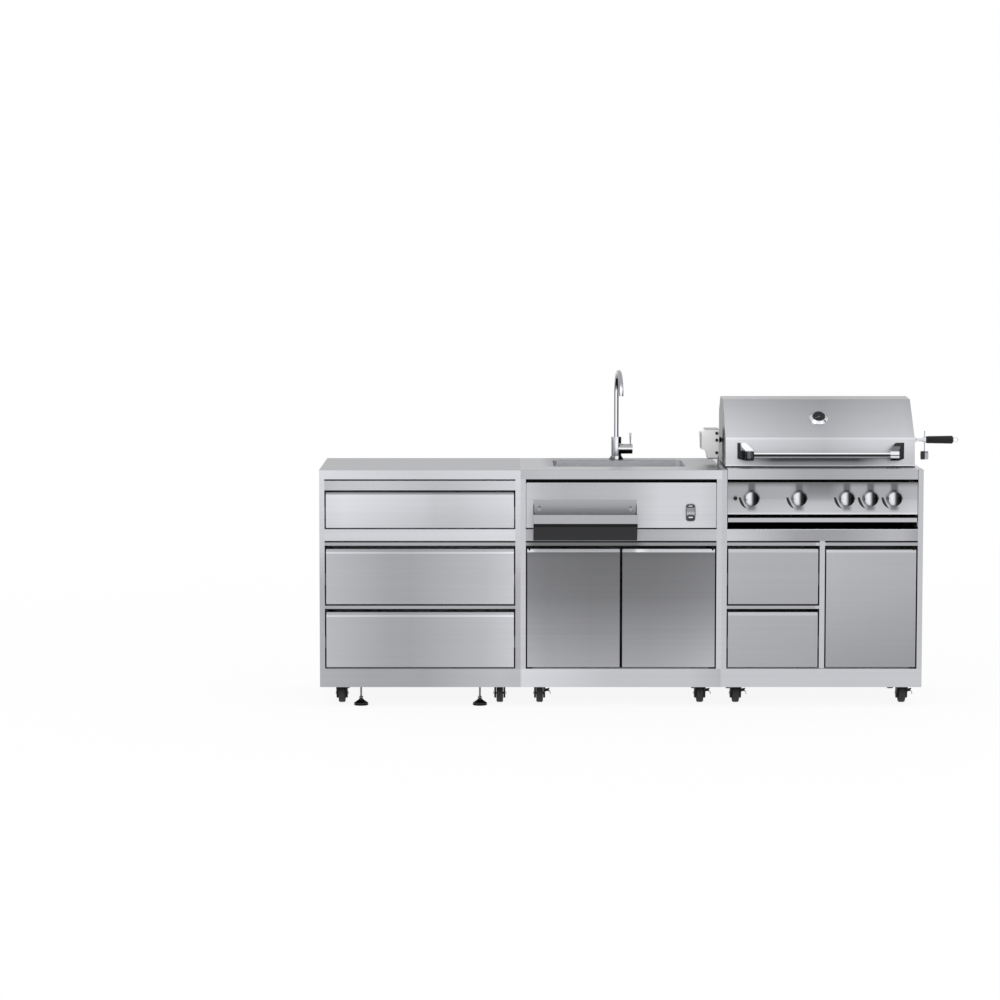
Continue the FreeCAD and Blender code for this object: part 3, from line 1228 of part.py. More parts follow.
def spit_grip():
    outline = [(0, 0), (GRIP_R - 2, 0), (GRIP_R, 3), (GRIP_END_R, GRIP_L - 5),
               (GRIP_END_R - 3, GRIP_L), (0, GRIP_L)]
    return turned(outline, V(GRIP_X, SPIT_Y, SPIT_Z), V(1, 0, 0))


def all_nodes():
    nodes = {
        "drawer_cabinet": drawer_cabinet(),
        "sink_cabinet": sink_cabinet(),
        "grill_cabinet": grill_cabinet(),
        "base_frames": base_frames(),
        "drawer_worktop": worktop_shell(0),
        "sink_worktop": sink_worktop(),
        "sink_bowl": sink_bowl(),
        "sink_drain": sink_drain(),
        "faucet_body": faucet_body(),
        "faucet_spout": faucet_spout(),
        "faucet_lever": faucet_lever(),
        "sink_fascia": sink_fascia(),
        "bottle_tray": bottle_tray(),
        "bottle_opener": bottle_opener(),
        "levelling_feet": levelling_feet(),
        "drawer_runners": drawer_runners(),
        "door_hinges": door_hinges(),
        "firebox": firebox(),
        "control_panel": control_panel(),
        "gas_burners": gas_burners(),
        "flame_tents": flame_tents(),
        "cooking_grates": cooking_grates(),
        "warming_rack": warming_rack(),
        "drip_tray": drip_tray(),
        "hood": hood(),
        "hood_handle": hood_handle(),
        "thermometer": thermometer(),
        "igniter_button": igniter_button(),
        "rotisserie_motor": rotisserie_motor(),
        "spit_rod": spit_rod(),
        "spit_grip": spit_grip(),
        "caster_plates": caster_plates(),
    }
    for name, bay in drawer_bays().items():
        nodes[name] = drawer(*bay)
    for name, place in doors().items():
        nodes[name] = door(*place)
    for i, x in enumerate(knob_points(), 1):
        nodes[f"knob_{i}"] = knob(x)
    for i, x in enumerate(caster_points(), 1):
        nodes[f"front_fork_{i}"] = front_fork(x, with_brake=i > 2)
        nodes[f"front_wheel_{i}"] = wheel(x, AXLE_Y)
    for name, pair in zip(("drawer", "sink", "grill"), range(3)):
        xs = caster_points()[2 * pair:2 * pair + 2]
        nodes[f"rear_wheels_{name}"] = [wheel(x, REAR_AXLE_Y) for x in xs]
    return nodes


def main():
    os.makedirs("parts", exist_ok=True)
    for name, solids in all_nodes().items():
        shape = solids if isinstance(solids, Part.Shape) else Part.makeCompound(solids)
        shape.translate(-ORIGIN)
        shape.exportStep(f"parts/{name}.step")


main()
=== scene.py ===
"""Outdoor kitchen island.

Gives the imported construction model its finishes, adds the small parts that it leaves out,
and sets a plain studio round it. Sizes and places are island millimetres, unless a docstring
says metres: they count from the left front corner on the floor, X to the right, Y to the
back and Z up.
"""

import logging
import math
from dataclasses import dataclass
from enum import Enum
from functools import lru_cache
from typing import Optional, Sequence, Union

import bmesh
import bpy
from mathutils import Matrix, Vector


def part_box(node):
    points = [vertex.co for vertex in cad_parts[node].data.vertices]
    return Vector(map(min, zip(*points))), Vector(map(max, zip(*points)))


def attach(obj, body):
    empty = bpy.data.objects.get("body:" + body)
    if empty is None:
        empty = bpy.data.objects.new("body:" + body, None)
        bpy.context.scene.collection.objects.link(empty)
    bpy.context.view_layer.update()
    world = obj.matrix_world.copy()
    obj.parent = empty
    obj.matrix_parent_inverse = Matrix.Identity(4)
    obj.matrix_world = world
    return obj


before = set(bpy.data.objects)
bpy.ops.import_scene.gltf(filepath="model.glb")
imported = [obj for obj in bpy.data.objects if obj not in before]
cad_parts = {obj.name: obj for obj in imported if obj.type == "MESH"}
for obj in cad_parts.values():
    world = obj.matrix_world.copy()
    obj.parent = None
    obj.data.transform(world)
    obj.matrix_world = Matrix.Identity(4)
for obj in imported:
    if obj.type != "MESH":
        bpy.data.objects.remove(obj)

log = logging.getLogger("kitchen_island")

MM = 0.001
ISLAND_ORIGIN = Vector((1308.85, 275.0, 0.0))
STEEL_TINT = (0.996, 1.004, 1.054)
NEUTRAL = (1.0, 1.0, 1.0)
WHITE = (1.0, 1.0, 1.0, 1.0)
WELD_DISTANCE = 0.0005
SMOOTH_ANGLE = math.radians(40)

Colour = tuple[float, float, float, float]
Point = tuple[float, float, float]
Span = tuple[float, float]
Stops = Sequence[Span]
Socket = bpy.types.NodeSocket
Cover = Union[Colour, Socket]


def place(x: float, y: float, z: float) -> Vector:
    """Turns island millimetres into the frame's metres."""
    return (Vector((x, y, z)) - ISLAND_ORIGIN) * MM


def about(middle: float, half: float) -> Span:
    """The span that reaches as far on both sides of its middle."""
    return middle - half, middle + half


def grey(level: float, tint: Point = STEEL_TINT) -> Colour:
    """Turns a display grey into a linear colour, by the display's own curve.

    Args:
        level: The grey as it should look, from 0 to 255.
        tint: Factors on red, green and blue.

    Returns:
        The linear colour with an alpha of one.
    """
    share = level / 255
    linear = ((share + 0.055) / 1.055) ** 2.4 if share > 0.04045 else share / 12.92
    return (linear * tint[0], linear * tint[1], linear * tint[2], 1.0)


class Axis(Enum):
    """The directions that a pattern can run along."""

    X = 0
    Y = 1
    Z = 2


class Tree:
    """A node tree under construction."""

    def __init__(self, tree: bpy.types.NodeTree) -> None:
        """Keeps the tree."""
        self.tree = tree

    def node(self, kind: str, inputs: dict[Union[int, str], object],
             **settings: object) -> bpy.types.NodeOutputs:
        """Adds a node.

        Args:
            kind: The node's type.
            inputs: Values, sockets or signals by the name or number of its sockets.
            settings: Its properties, or a ramp's stops, which are set before the inputs.

        Returns:
            The node's outputs.
        """
        node = self.tree.nodes.new(kind)
        for key, value in settings.items():
            if key == "stops":
                fill_ramp(node.color_ramp, value)
            else:
                setattr(node, key, value)
        for key, value in inputs.items():
            source = value.socket if isinstance(value, Signal) else value
            if isinstance(source, Socket):
                self.tree.links.new(source, node.inputs[key])
            else:
                node.inputs[key].default_value = source
        return node.outputs


class Signal:
    """A value on a shader socket that takes part in Python expressions."""

    def __init__(self, surface: "Surface", socket: Socket) -> None:
        """Keeps the socket and the surface whose tree it belongs to."""
        self.surface = surface
        self.socket = socket

    def _math(self, operation: str, *values: "Value", clamp: bool = False) -> "Signal":
        """Adds one Math node.

        Args:
            operation: What the node does.
            values: What it works on.
            clamp: Whether its result is held between zero and one.

        Returns:
            Its result.
        """
        inputs = dict(enumerate(values))
        outputs = self.surface.node("ShaderNodeMath", inputs, operation=operation, use_clamp=clamp)
        return Signal(self.surface, outputs[0])

    def __add__(self, other: "Value") -> "Signal":
        """self + other."""
        return self._math("ADD", self, other)

    def __radd__(self, other: "Value") -> "Signal":
        """other + self."""
        return self._math("ADD", other, self)

    def __sub__(self, other: "Value") -> "Signal":
        """self - other."""
        return self._math("SUBTRACT", self, other)

    def __rsub__(self, other: "Value") -> "Signal":
        """other - self."""
        return self._math("SUBTRACT", other, self)

    def __mul__(self, other: "Value") -> "Signal":
        """self * other."""
        return self._math("MULTIPLY", self, other)

    def __rmul__(self, other: "Value") -> "Signal":
        """other * self."""
        return self._math("MULTIPLY", other, self)

    def __truediv__(self, other: "Value") -> "Signal":
        """self / other."""
        return self._math("DIVIDE", self, other)

    def __rtruediv__(self, other: "Value") -> "Signal":
        """other / self."""
        return self._math("DIVIDE", other, self)

    def __gt__(self, other: "Value") -> "Signal":
        """One where self is greater than other, or else zero."""
        return self._math("GREATER_THAN", self, other)

    def __abs__(self) -> "Signal":
        """The size of self without its sign."""
        return self._math("ABSOLUTE", self)

    def clamped(self, offset: float) -> "Signal":
        """self + offset, held between zero and one."""
        return self._math("ADD", self, offset, clamp=True)


Value = Union[Signal, float]


class Surface(Tree):
    """A material under construction: one Principled shader fed from object coordinates."""

    def __init__(self, name: str, constants: dict[str, Union[float, Colour]]) -> None:
        """Starts a material.

        Args:
            name: The material's name.
            constants: What stays the same all over the surface, by the shader's sockets.
        """
        self.material = bpy.data.materials.new(name)
        self.material.use_nodes = True
        super().__init__(self.material.node_tree)
        self.shader = self.first("BSDF_PRINCIPLED")
        for socket, value in constants.items():
            self.shader.inputs[socket].default_value = value
        self.coordinates = self.node("ShaderNodeTexCoord", {})
        self.where = self.coordinates["Object"]
        self.split = self.node("ShaderNodeSeparateXYZ", {0: self.where})

    def first(self, kind: str) -> bpy.types.Node:
        """The tree's first node of a type."""
        return next(node for node in self.tree.nodes if node.type == kind)

    def along(self, axis: Axis) -> Signal:
        """The object coordinate along one axis, in metres."""
        return Signal(self, self.split[axis.value])

    def facing(self, axis: Axis) -> Signal:
        """How far the surface looks along one axis, from minus one to one."""
        parts = self.node("ShaderNodeSeparateXYZ", {0: self.coordinates["Normal"]})
        return Signal(self, parts[axis.value])

    def noise(self, scale: Point, detail: float = 2.0) -> Signal:
        """A smooth noise about 0.5.

        Args:
            scale: Grains per metre along X, Y and Z.
            detail: How many finer layers are added.

        Returns:
            The noise's value.
        """
        mapped = self.node("ShaderNodeMapping", {"Vector": self.where, "Scale": scale})
        inputs = {"Vector": mapped[0], "Scale": 1.0, "Detail": detail}
        return Signal(self, self.node("ShaderNodeTexNoise", inputs)[0])

    def scaled(self, colour: Cover, factor: Signal) -> Socket:
        """A colour made lighter or darker.

        Args:
            colour: The colour or its socket.
            factor: What its red, green and blue are multiplied by.

        Returns:
            The result's socket.
        """
        base = colour[:3] if isinstance(colour, tuple) else colour
        inputs = {0: base, "Scale": factor}
        return self.node("ShaderNodeVectorMath", inputs, operation="SCALE")[0]

    def mixed(self, factor: Value, first: Cover, second: Cover, blend: str = "MIX") -> Socket:
        """The first colour where the factor is zero, the second or a blend where it is one."""
        inputs = {0: factor, 6: first, 7: second}
        return self.node("ShaderNodeMix", inputs, data_type="RGBA", blend_type=blend)[2]

    def colour(self, value: Cover) -> None:
        """Sets the base colour, or links it where it varies over the surface.

        Args:
            value: The colour or its socket.
        """
        if isinstance(value, tuple):
            self.shader.inputs["Base Color"].default_value = value
        else:
            self.feed("Base Color", value)

    def feed(self, socket: str, value: Union[Signal, Socket]) -> None:
        """Links a value that varies over the surface into the shader."""
        source = value.socket if isinstance(value, Signal) else value
        self.tree.links.new(source, self.shader.inputs[socket])

    def bump(self, height: Signal, distance: float, strength: float = 0.4) -> None:
        """Raises the surface by a height pattern.

        Args:
            height: The pattern, from zero to one.
            distance: How far a height of one stands up.
            strength: How much of the change reaches the normal.
        """
        inputs = {"Height": height, "Distance": distance * MM, "Strength": strength}
        self.feed("Normal", self.node("ShaderNodeBump", inputs)[0])


def fill_ramp(ramp: bpy.types.ColorRamp, stops: Sequence[tuple[float, Colour]]) -> None:
    """Sets a ramp's stops.

    Args:
        ramp: The ramp of a new node, which has two stops.
        stops: Places from zero to one with their colours, in order.
    """
    while len(ramp.elements) < len(stops):
        ramp.elements.new(0.5)
    for element, (position, colour) in zip(ramp.elements, stops):
        element.position = position
        element.color = colour


@dataclass(frozen=True)
class Shading:
    """Greys at places along one axis, which are in island millimetres."""

    axis: Axis
    stops: tuple[Span, ...]

    def on(self, surface: Surface, tint: Point) -> Socket:
        """Lays the greys over a surface.

        Args:
            surface: The material under construction.
            tint: Factors on red, green and blue.

        Returns:
            The colour's socket.
        """
        first, last = self.stops[0][0], self.stops[-1][0]
        start = (first - ISLAND_ORIGIN[self.axis.value]) * MM
        share = (surface.along(self.axis) - start) / ((last - first) * MM)
        stops = [((at - first) / (last - first), grey(level, tint)) for at, level in self.stops]
        return surface.node("ShaderNodeValToRGB", {0: share}, stops=stops)[0]


def across(*stops: Span) -> Shading:
    """Greys at places along the island's length."""
    return Shading(Axis.X, stops)


def upward(*stops: Span) -> Shading:
    """Greys at heights over the floor."""
    return Shading(Axis.Z, stops)


def shifted(start: float, stops: Stops) -> tuple[Span, ...]:
    """Stops in island millimetres from stops that are counted from a start."""
    return tuple((start + at, level) for at, level in stops)


def spread(span: Span, shares: Stops) -> tuple[Span, ...]:
    """Stops in island millimetres from stops that are shares of a span."""
    return tuple((span[0] + (span[1] - span[0]) * share, level) for share, level in shares)


Tone = Union[float, Shading]


@dataclass(frozen=True)
class Patch:
    """A box with soft edges, in island millimetres, in which a finish has its own tone.

    Where below is set, it keeps to the faces that look down.
    """

    tone: Tone
    x: Optional[Span] = None
    y: Optional[Span] = None
    z: Optional[Span] = None
    soft: Point = (1.0, 1.0, 1.0)
    below: bool = False

    def mask(self, surface: Surface) -> Signal:
        """One inside the box and zero outside.

        Args:
            surface: The material under construction.

        Returns:
            The mask's value.
        """
        share: Optional[Signal] = None
        for axis, span, soft in zip(Axis, (self.x, self.y, self.z), self.soft):
            if span is None:
                continue
            middle = ((span[0] + span[1]) / 2 - ISLAND_ORIGIN[axis.value]) * MM
            half = (span[1] - span[0]) / 2 * MM
            inside = ((half - abs(surface.along(axis) - middle)) / (soft * MM)).clamped(0.5)
            share = inside if share is None else share * inside
        return share * (surface.facing(Axis.Z) * -1 > 0.2) if self.below else share


# The tones, crosses and patches of a paint mostly stand for painted light, shade and reflections.
@dataclass(frozen=True)
class Paint:
    """How light a finish is over a piece: a tone, a factor across it (255 is one), patches."""

    tone: Tone = 200.0
    cross: Optional[Shading] = None
    patches: tuple[Patch, ...] = ()

    def on(self, surface: Surface, tint: Point = STEEL_TINT) -> Cover:
        """Lays the paint over a surface.

        Args:
            surface: The material under construction.
            tint: Factors on red, green and blue.

        Returns:
            The colour, or its socket where it varies.
        """
        colour = self.toned(surface, self.tone, tint)
        if self.cross is not None:
            colour = surface.mixed(1.0, colour, self.cross.on(surface, NEUTRAL), "MULTIPLY")
        for patch in self.patches:
            inside = self.toned(surface, patch.tone, tint)
            colour = surface.mixed(patch.mask(surface), colour, inside)
        return colour

    @staticmethod
    def toned(surface: Surface, tone: Tone, tint: Point) -> Cover:
        """A tone as a colour, or as a socket where it varies."""
        return tone.on(surface, tint) if isinstance(tone, Shading) else grey(tone, tint)


@dataclass(frozen=True)
class BrushedSteel:
    """Stainless sheet with a grain that runs one way."""

    name: str
    paint: Paint = Paint()
    roughness: float = 0.32
    grain: Point = (1.2, 1.2, 110.0)
    contrast: float = 0.12
    slot: str = "stainless"
    # Painted shadow: a patch where the steel turns dull and black.
    matt: Optional[Patch] = None
    cloud_grain: float = 2.5
    cloud_contrast: float = 0.06
    streak_roughness: float = 0.14
    painted_shadow_roughness: float = 0.6
    depth: float = 0.04

    def material(self) -> bpy.types.Material:
        """Builds the finish: streaks and clouds in its tone, streaks in its polish, painted
        shadow.

        Returns:
            The material.
        """
        surface = Surface(self.name, {"Metallic": 1.0})
        streaks = surface.noise(self.grain, 3.0)
        clouds = surface.noise((self.cloud_grain,) * 3, 1.0)
        tone = 1 + (streaks - 0.5) * self.contrast + (clouds - 0.5) * self.cloud_contrast
        surface.colour(surface.scaled(self.paint.on(surface), tone))
        rough = self.roughness + (streaks - 0.5) * self.streak_roughness
        # Inside that patch, painted shadow: the steel turns dull, non-metallic and black.
        if self.matt is not None:
            shadow_share = self.matt.mask(surface)
            surface.feed("Metallic", 1 - shadow_share)
            rough = rough + shadow_share * self.painted_shadow_roughness
        surface.feed("Roughness", rough)
        surface.bump(streaks, self.depth)
        return surface.material


@dataclass(frozen=True)
class PolishedMetal:
    """Plated or polished metal with a trace of wiping marks."""

    name: str
    paint: Paint = Paint(225)
    roughness: float = 0.08
    slot: str = "chrome"
    mark_grain: float = 25.0
    mark_roughness: float = 0.05

    def material(self) -> bpy.types.Material:
        """Builds the finish.

        Returns:
            The material.
        """
        surface = Surface(self.name, {"Metallic": 1.0})
        marks = surface.noise((self.mark_grain,) * 3, 3.0)
        surface.colour(self.paint.on(surface))
        surface.feed("Roughness", self.roughness + (marks - 0.5) * self.mark_roughness)
        return surface.material


@dataclass(frozen=True)
class MouldedPlastic:
    """Moulded plastic or rubber with a fine grain."""

    name: str
    paint: Paint = Paint(32)
    roughness: float = 0.5
    grain: float = 900.0
    depth: float = 0.05
    tint: Point = (1.0, 1.0, 1.02)
    slot: str = "black_plastic"
    wear_grain: float = 18.0
    wear_contrast: float = 0.2

    def material(self) -> bpy.types.Material:
        """Builds the finish.

        Returns:
            The material.
        """
        surface = Surface(self.name, {"Metallic": 0.0})
        grain = surface.noise((self.grain,) * 3)
        wear = (surface.noise((self.wear_grain,) * 3, 3.0) - 0.5) * self.wear_contrast
        surface.colour(surface.scaled(self.paint.on(surface, self.tint), 1 + wear))
        surface.feed("Roughness", self.roughness + wear)
        surface.bump(grain, self.depth, 0.3)
        return surface.material


@dataclass(frozen=True)
class CastSteel:
    """Bare or plated steel with a mottled surface."""

    name: str
    paint: Paint = Paint(150)
    roughness: float = 0.45
    mottle: float = 60.0
    contrast: float = 0.3
    tint: Point = (1.0, 0.99, 0.97)
    slot: str = "zinc"
    spot_roughness: float = 0.2
    depth: float = 0.1

    def material(self) -> bpy.types.Material:
        """Builds the finish.

        Returns:
            The material.
        """
        surface = Surface(self.name, {"Metallic": 1.0})
        spots = surface.noise((self.mottle,) * 3, 3.0)
        colour = self.paint.on(surface, self.tint)
        surface.colour(surface.scaled(colour, 1 + (spots - 0.5) * self.contrast))
        surface.feed("Roughness", self.roughness + (spots - 0.5) * self.spot_roughness)
        surface.bump(spots, self.depth, 0.3)
        return surface.material


@dataclass(frozen=True)
class PlainCoat:
    """Paint or print in one colour."""

    name: str
    level: float = 20.0
    roughness: float = 0.5
    slot: str = "black_plastic"
    grain: float = 40.0

    def material(self) -> bpy.types.Material:
        """Builds the finish.

        Returns:
            The material.
        """
        surface = Surface(self.name, {"Metallic": 0.0, "Base Color": grey(self.level)})
        uneven = surface.noise((self.grain,) * 3) - 0.5
        surface.feed("Roughness", self.roughness + uneven * 0.1)
        return surface.material


Finish = Union[BrushedSteel, PolishedMetal, MouldedPlastic, CastSteel, PlainCoat]

CHROME = PolishedMetal("Chrome")
ZINC = CastSteel("Zinc plate", Paint(185), 0.4, 90.0, 0.2, (0.98, 1.0, 1.02))
BURNER_STEEL = CastSteel("Heated burner steel", Paint(140), 0.5, 45.0, 0.4, slot="burner_steel")
BLACK = MouldedPlastic("Black plastic", Paint(20), 0.45)
SOFT_BLACK = MouldedPlastic("Soft black plastic", Paint(5), 0.7)
# The hinge plates are painted near black as shade at the doors' corners.
SHADED_HINGE = CastSteel("Hinge plate in painted shade", Paint(40), 0.6)
CASTER = MouldedPlastic("Black caster plastic", Paint(34), 0.5, slot="caster_plastic")
RUBBER = MouldedPlastic("Wheel rubber", Paint(54), 0.75, 400.0, slot="wheel_rubber")
PRINT = PlainCoat("Black print", 16, 0.5)
DIAL = PlainCoat("Dial face", 4, 0.7)
DIAL_MARKS = PlainCoat("Dial marks", 120, 0.5)
NEEDLE = PlainCoat("Needle paint", 130, 0.5)
# Flat black pieces for holes, sockets, ports and the aerator's screen: painted shade in them.
SHADOW = PlainCoat("Painted recess shade", 10, 0.7)


@lru_cache(maxsize=None)
def material_of(finish: Finish) -> bpy.types.Material:
    """The material of a finish, built on its first use."""
    return finish.material()


def reach(node: str, axis: Axis) -> Span:
    """Where a construction node starts and ends along an axis.

    Args:
        node: The node's name.
        axis: The axis.

    Returns:
        Both ends in island millimetres.
    """
    low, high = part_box(node)
    origin = ISLAND_ORIGIN[axis.value]
    return low[axis.value] / MM + origin, high[axis.value] / MM + origin


def middle_of(node: str) -> Vector:
    """The middle of a construction node's box."""
    low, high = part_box(node)
    return (low + high) / 2


def dress(node: str, finish: Finish) -> None:
    """Puts a finish on every slot of a construction node.

    Args:
        node: The node's name.
        finish: What it is finished in.
    """
    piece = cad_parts[node]
    material = material_of(finish)
    if not piece.data.materials:
        piece.data.materials.append(material)
    for i in range(len(piece.data.materials)):
        piece.data.materials[i] = material
    log.info("node %s: %s", node, finish.name)


def put(name: str, data: bpy.types.ID) -> bpy.types.Object:
    """Adds an object at the origin of the scene.

    Args:
        name: The object's name.
        data: Its mesh, lamp or camera.

    Returns:
        The object.
    """
    item = bpy.data.objects.new(name, data)
    bpy.context.scene.collection.objects.link(item)
    return item


def seat(name: str, data: bpy.types.Mesh, body: str, finish: Finish) -> None:
    """Makes a finished piece from a mesh whose places are the frame's.

    Args:
        name: The piece's name.
        data: Its mesh.
        body: The body that carries it.
        finish: What it is finished in.
    """
    data.materials.clear()
    data.materials.append(material_of(finish))
    piece = put(name, data)
    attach(piece, body)
    log.info("piece %s on %s: %s", name, body, finish.name)


class Shape:
    """A mesh under construction, in millimetres about a centre with its own Z axis."""

    def __init__(self, centre: Vector, axis: Point = (0.0, 0.0, 1.0)) -> None:
        """Starts an empty shape.

        Args:
            centre: Where its origin lies in the frame, in metres.
            axis: Which way its own Z points in the frame.
        """
        self.mesh = bmesh.new()
        turn = Vector(axis).normalized().to_track_quat("Z", "Y").to_matrix().to_4x4()
        self.matrix = Matrix.Translation(centre) @ turn @ Matrix.Scale(MM, 4)

    def lathe(self, outline: Stops, steps: int = 32) -> "Shape":
        """Turns an outline round the shape's Z.

        Args:
            outline: Radius and height of each corner; a radius of zero closes the end.
            steps: How many sides the turned body has.

        Returns:
            The shape itself.
        """
        rings = []
        for radius, height in outline:
            turns = [2 * math.pi * i / steps for i in range(steps if radius else 1)]
            rings.append([
                self.mesh.verts.new((radius * math.cos(a), radius * math.sin(a), height))
                for a in turns
            ])
        for low, high in zip(rings, rings[1:]):
            for i in range(steps):
                corners = [low[i % len(low)], low[(i + 1) % len(low)]]
                corners += [high[(i + 1) % len(high)], high[i % len(high)]]
                unique = list(dict.fromkeys(corners))
                if len(unique) > 2:
                    self.mesh.faces.new(unique)
        return self

    def plate(self, outline: Stops, low: float, high: float) -> "Shape":
        """Raises a flat outline into a plate.

        Args:
            outline: Its corners in the shape's XY plane, in order.
            low: Height of its underside.
            high: Height of its top.

        Returns:
            The shape itself.
        """
        under = [self.mesh.verts.new((x, y, low)) for x, y in outline]
        over = [self.mesh.verts.new((x, y, high)) for x, y in outline]
        for i in range(len(outline)):
            self.mesh.faces.new((under[i - 1], under[i], over[i], over[i - 1]))
        self.mesh.faces.new(list(reversed(under)))
        self.mesh.faces.new(over)
        return self

    def finish(self, name: str, body: str, finish: Finish, smooth: bool = False) -> None:
        """Turns the shape into a piece that rides on a body.

        Args:
            name: The piece's name.
            body: The body that carries it.
            finish: What it is finished in.
            smooth: Whether its faces are shaded as one curve up to the smooth angle.
        """
        bmesh.ops.remove_doubles(self.mesh, verts=self.mesh.verts, dist=WELD_DISTANCE)
        bmesh.ops.recalc_face_normals(self.mesh, faces=self.mesh.faces)
        bmesh.ops.transform(self.mesh, matrix=self.matrix, verts=self.mesh.verts)
        data = bpy.data.meshes.new(name)
        self.mesh.to_mesh(data)
        self.mesh.free()
        seat(name, data, body, finish)
        if smooth:
            data.shade_smooth()
            data.set_sharp_from_angle(angle=SMOOTH_ANGLE)


class Repeat(Tree):
    """A Geometry Nodes tree with named inputs that repeats one small form."""

    socket_kinds = {tuple: "NodeSocketVector", float: "NodeSocketFloat", int: "NodeSocketInt"}

    def __init__(self, name: str, inputs: dict[str, object]) -> None:
        """Starts a tree.

        Args:
            name: The tree's name.
            inputs: Each input's usual value, whose type is also the socket's.
        """
        super().__init__(bpy.data.node_groups.new(name, "GeometryNodeTree"))
        face = self.tree.interface
        for way in ("OUTPUT", "INPUT"):
            face.new_socket("Geometry", in_out=way, socket_type="NodeSocketGeometry")
        face.new_socket("Finish", in_out="INPUT", socket_type="NodeSocketMaterial")
        for label, usual in inputs.items():
            kind = self.socket_kinds[type(usual)]
            face.new_socket(label, in_out="INPUT", socket_type=kind).default_value = usual
        self.given = self.node("NodeGroupInput", {})

    def close(self, points: Socket, form: Socket, direction: Socket) -> "Repeat":
        """Puts the form on the points, makes it plain geometry and gives it its finish.

        Args:
            points: Where the form is repeated.
            form: The form, which stands along Z.
            direction: Where its Z is turned to.

        Returns:
            The tree itself.
        """
        turn = self.node("FunctionNodeAlignRotationToVector", {"Vector": direction}, axis="Z")
        inputs = {"Points": points, "Instance": form, "Rotation": turn[0]}
        placed = self.node("GeometryNodeInstanceOnPoints", inputs)
        real = self.node("GeometryNodeRealizeInstances", {0: placed[0]})
        inputs = {"Geometry": real[0], "Material": self.given["Finish"]}
        dressed = self.node("GeometryNodeSetMaterial", inputs)
        self.node("NodeGroupOutput", {0: dressed[0]})
        return self

    def make(self, name: str, body: str, finish: Finish, values: dict[str, object],
             points: Sequence[Vector] = ()) -> None:
        """Runs the tree once and keeps the result as a plain piece.

        Args:
            name: The piece's name.
            body: The body that carries it.
            finish: What it is finished in.
            values: The tree's inputs by name.
            points: Places in the frame, in metres, that the tree is given as vertices.
        """
        host = bpy.data.meshes.new(name + "_points")
        host.from_pydata([tuple(p) for p in points], [], [])
        carrier = put(name + "_carrier", host)
        modifier = carrier.modifiers.new("Repeat", "NODES")
        modifier.node_group = self.tree
        given = dict(values, Finish=material_of(finish))
        for item in self.tree.interface.items_tree:
            if item.in_out == "INPUT" and item.name in given:
                modifier[item.identifier] = given[item.name]
        graph = bpy.context.evaluated_depsgraph_get()
        data = bpy.data.meshes.new_from_object(carrier.evaluated_get(graph), depsgraph=graph)
        bpy.data.objects.remove(carrier)
        bpy.data.meshes.remove(host)
        data.name = name
        seat(name, data, body, finish)


def heads_tree() -> Repeat:
    """Screw heads, nuts or ports: a short cone on each given point.

    Returns:
        The tree, with inputs in metres for both radii and the height, the axis and the sides.
    """
    repeat = Repeat("Heads on points", {
        "Axis": (0.0, 1.0, 0.0), "Foot Radius": 0.004, "Top Radius": 0.003, "Height": 0.002,
        "Sides": 12,
    })
    given = repeat.given
    cone = repeat.node("GeometryNodeMeshCone", {
        "Vertices": given["Sides"], "Radius Bottom": given["Foot Radius"],
        "Radius Top": given["Top Radius"], "Depth": given["Height"],
    }, fill_type="NGON")
    return repeat.close(given["Geometry"], cone["Mesh"], given["Axis"])


def grid_tree() -> Repeat:
    """Rows and columns of small discs over a flat face.

    Returns:
        The tree, with inputs in metres for the face's middle and size and the disc, its turn
        and way, and the counts.
    """
    repeat = Repeat("Discs on a face", {
        "Middle": (0.0, 0.0, 0.0), "Turn": (math.pi / 2, 0.0, 0.0), "Facing": (0.0, -1.0, 0.0),
        "Width": 0.4, "Height": 0.06, "Columns": 40, "Rows": 6, "Disc Radius": 0.003,
        "Disc Depth": 0.0006, "Disc Sides": 6,
    })
    given = repeat.given
    grid = repeat.node("GeometryNodeMeshGrid", {
        "Size X": given["Width"], "Size Y": given["Height"],
        "Vertices X": given["Columns"], "Vertices Y": given["Rows"],
    })
    stood = repeat.node("GeometryNodeTransform", {
        "Geometry": grid["Mesh"], "Translation": given["Middle"], "Rotation": given["Turn"],
    })
    disc = repeat.node("GeometryNodeMeshCylinder", {
        "Vertices": given["Disc Sides"], "Radius": given["Disc Radius"],
        "Depth": given["Disc Depth"],
    }, fill_type="NGON")
    return repeat.close(stood[0], disc["Mesh"], given["Facing"])


def rings_tree() -> Repeat:
    """Round ribs at even steps along a straight line.

    Returns:
        The tree, with inputs in metres for the start, the step and both radii, and the
        counts.
    """
    repeat = Repeat("Rings along a line", {
        "Start": (0.0, 0.0, 0.0), "Step": (0.01, 0.0, 0.0), "Count": 6, "Ring Radius": 0.015,
        "Ring Steps": 32, "Rib Radius": 0.001, "Rib Steps": 6,
    })
    given = repeat.given
    line = repeat.node("GeometryNodeMeshLine", {
        "Count": given["Count"], "Start Location": given["Start"], "Offset": given["Step"],
    }, mode="OFFSET")
    path, rib = (
        repeat.node("GeometryNodeCurvePrimitiveCircle", {
            "Resolution": given[part + " Steps"], "Radius": given[part + " Radius"],
        })
        for part in ("Ring", "Rib")
    )
    inputs = {"Curve": path["Curve"], "Profile Curve": rib["Curve"]}
    ring = repeat.node("GeometryNodeCurveToMesh", inputs)
    return repeat.close(line[0], ring[0], given["Step"])


HEADS = heads_tree()
DISCS = grid_tree()
RINGS = rings_tree()


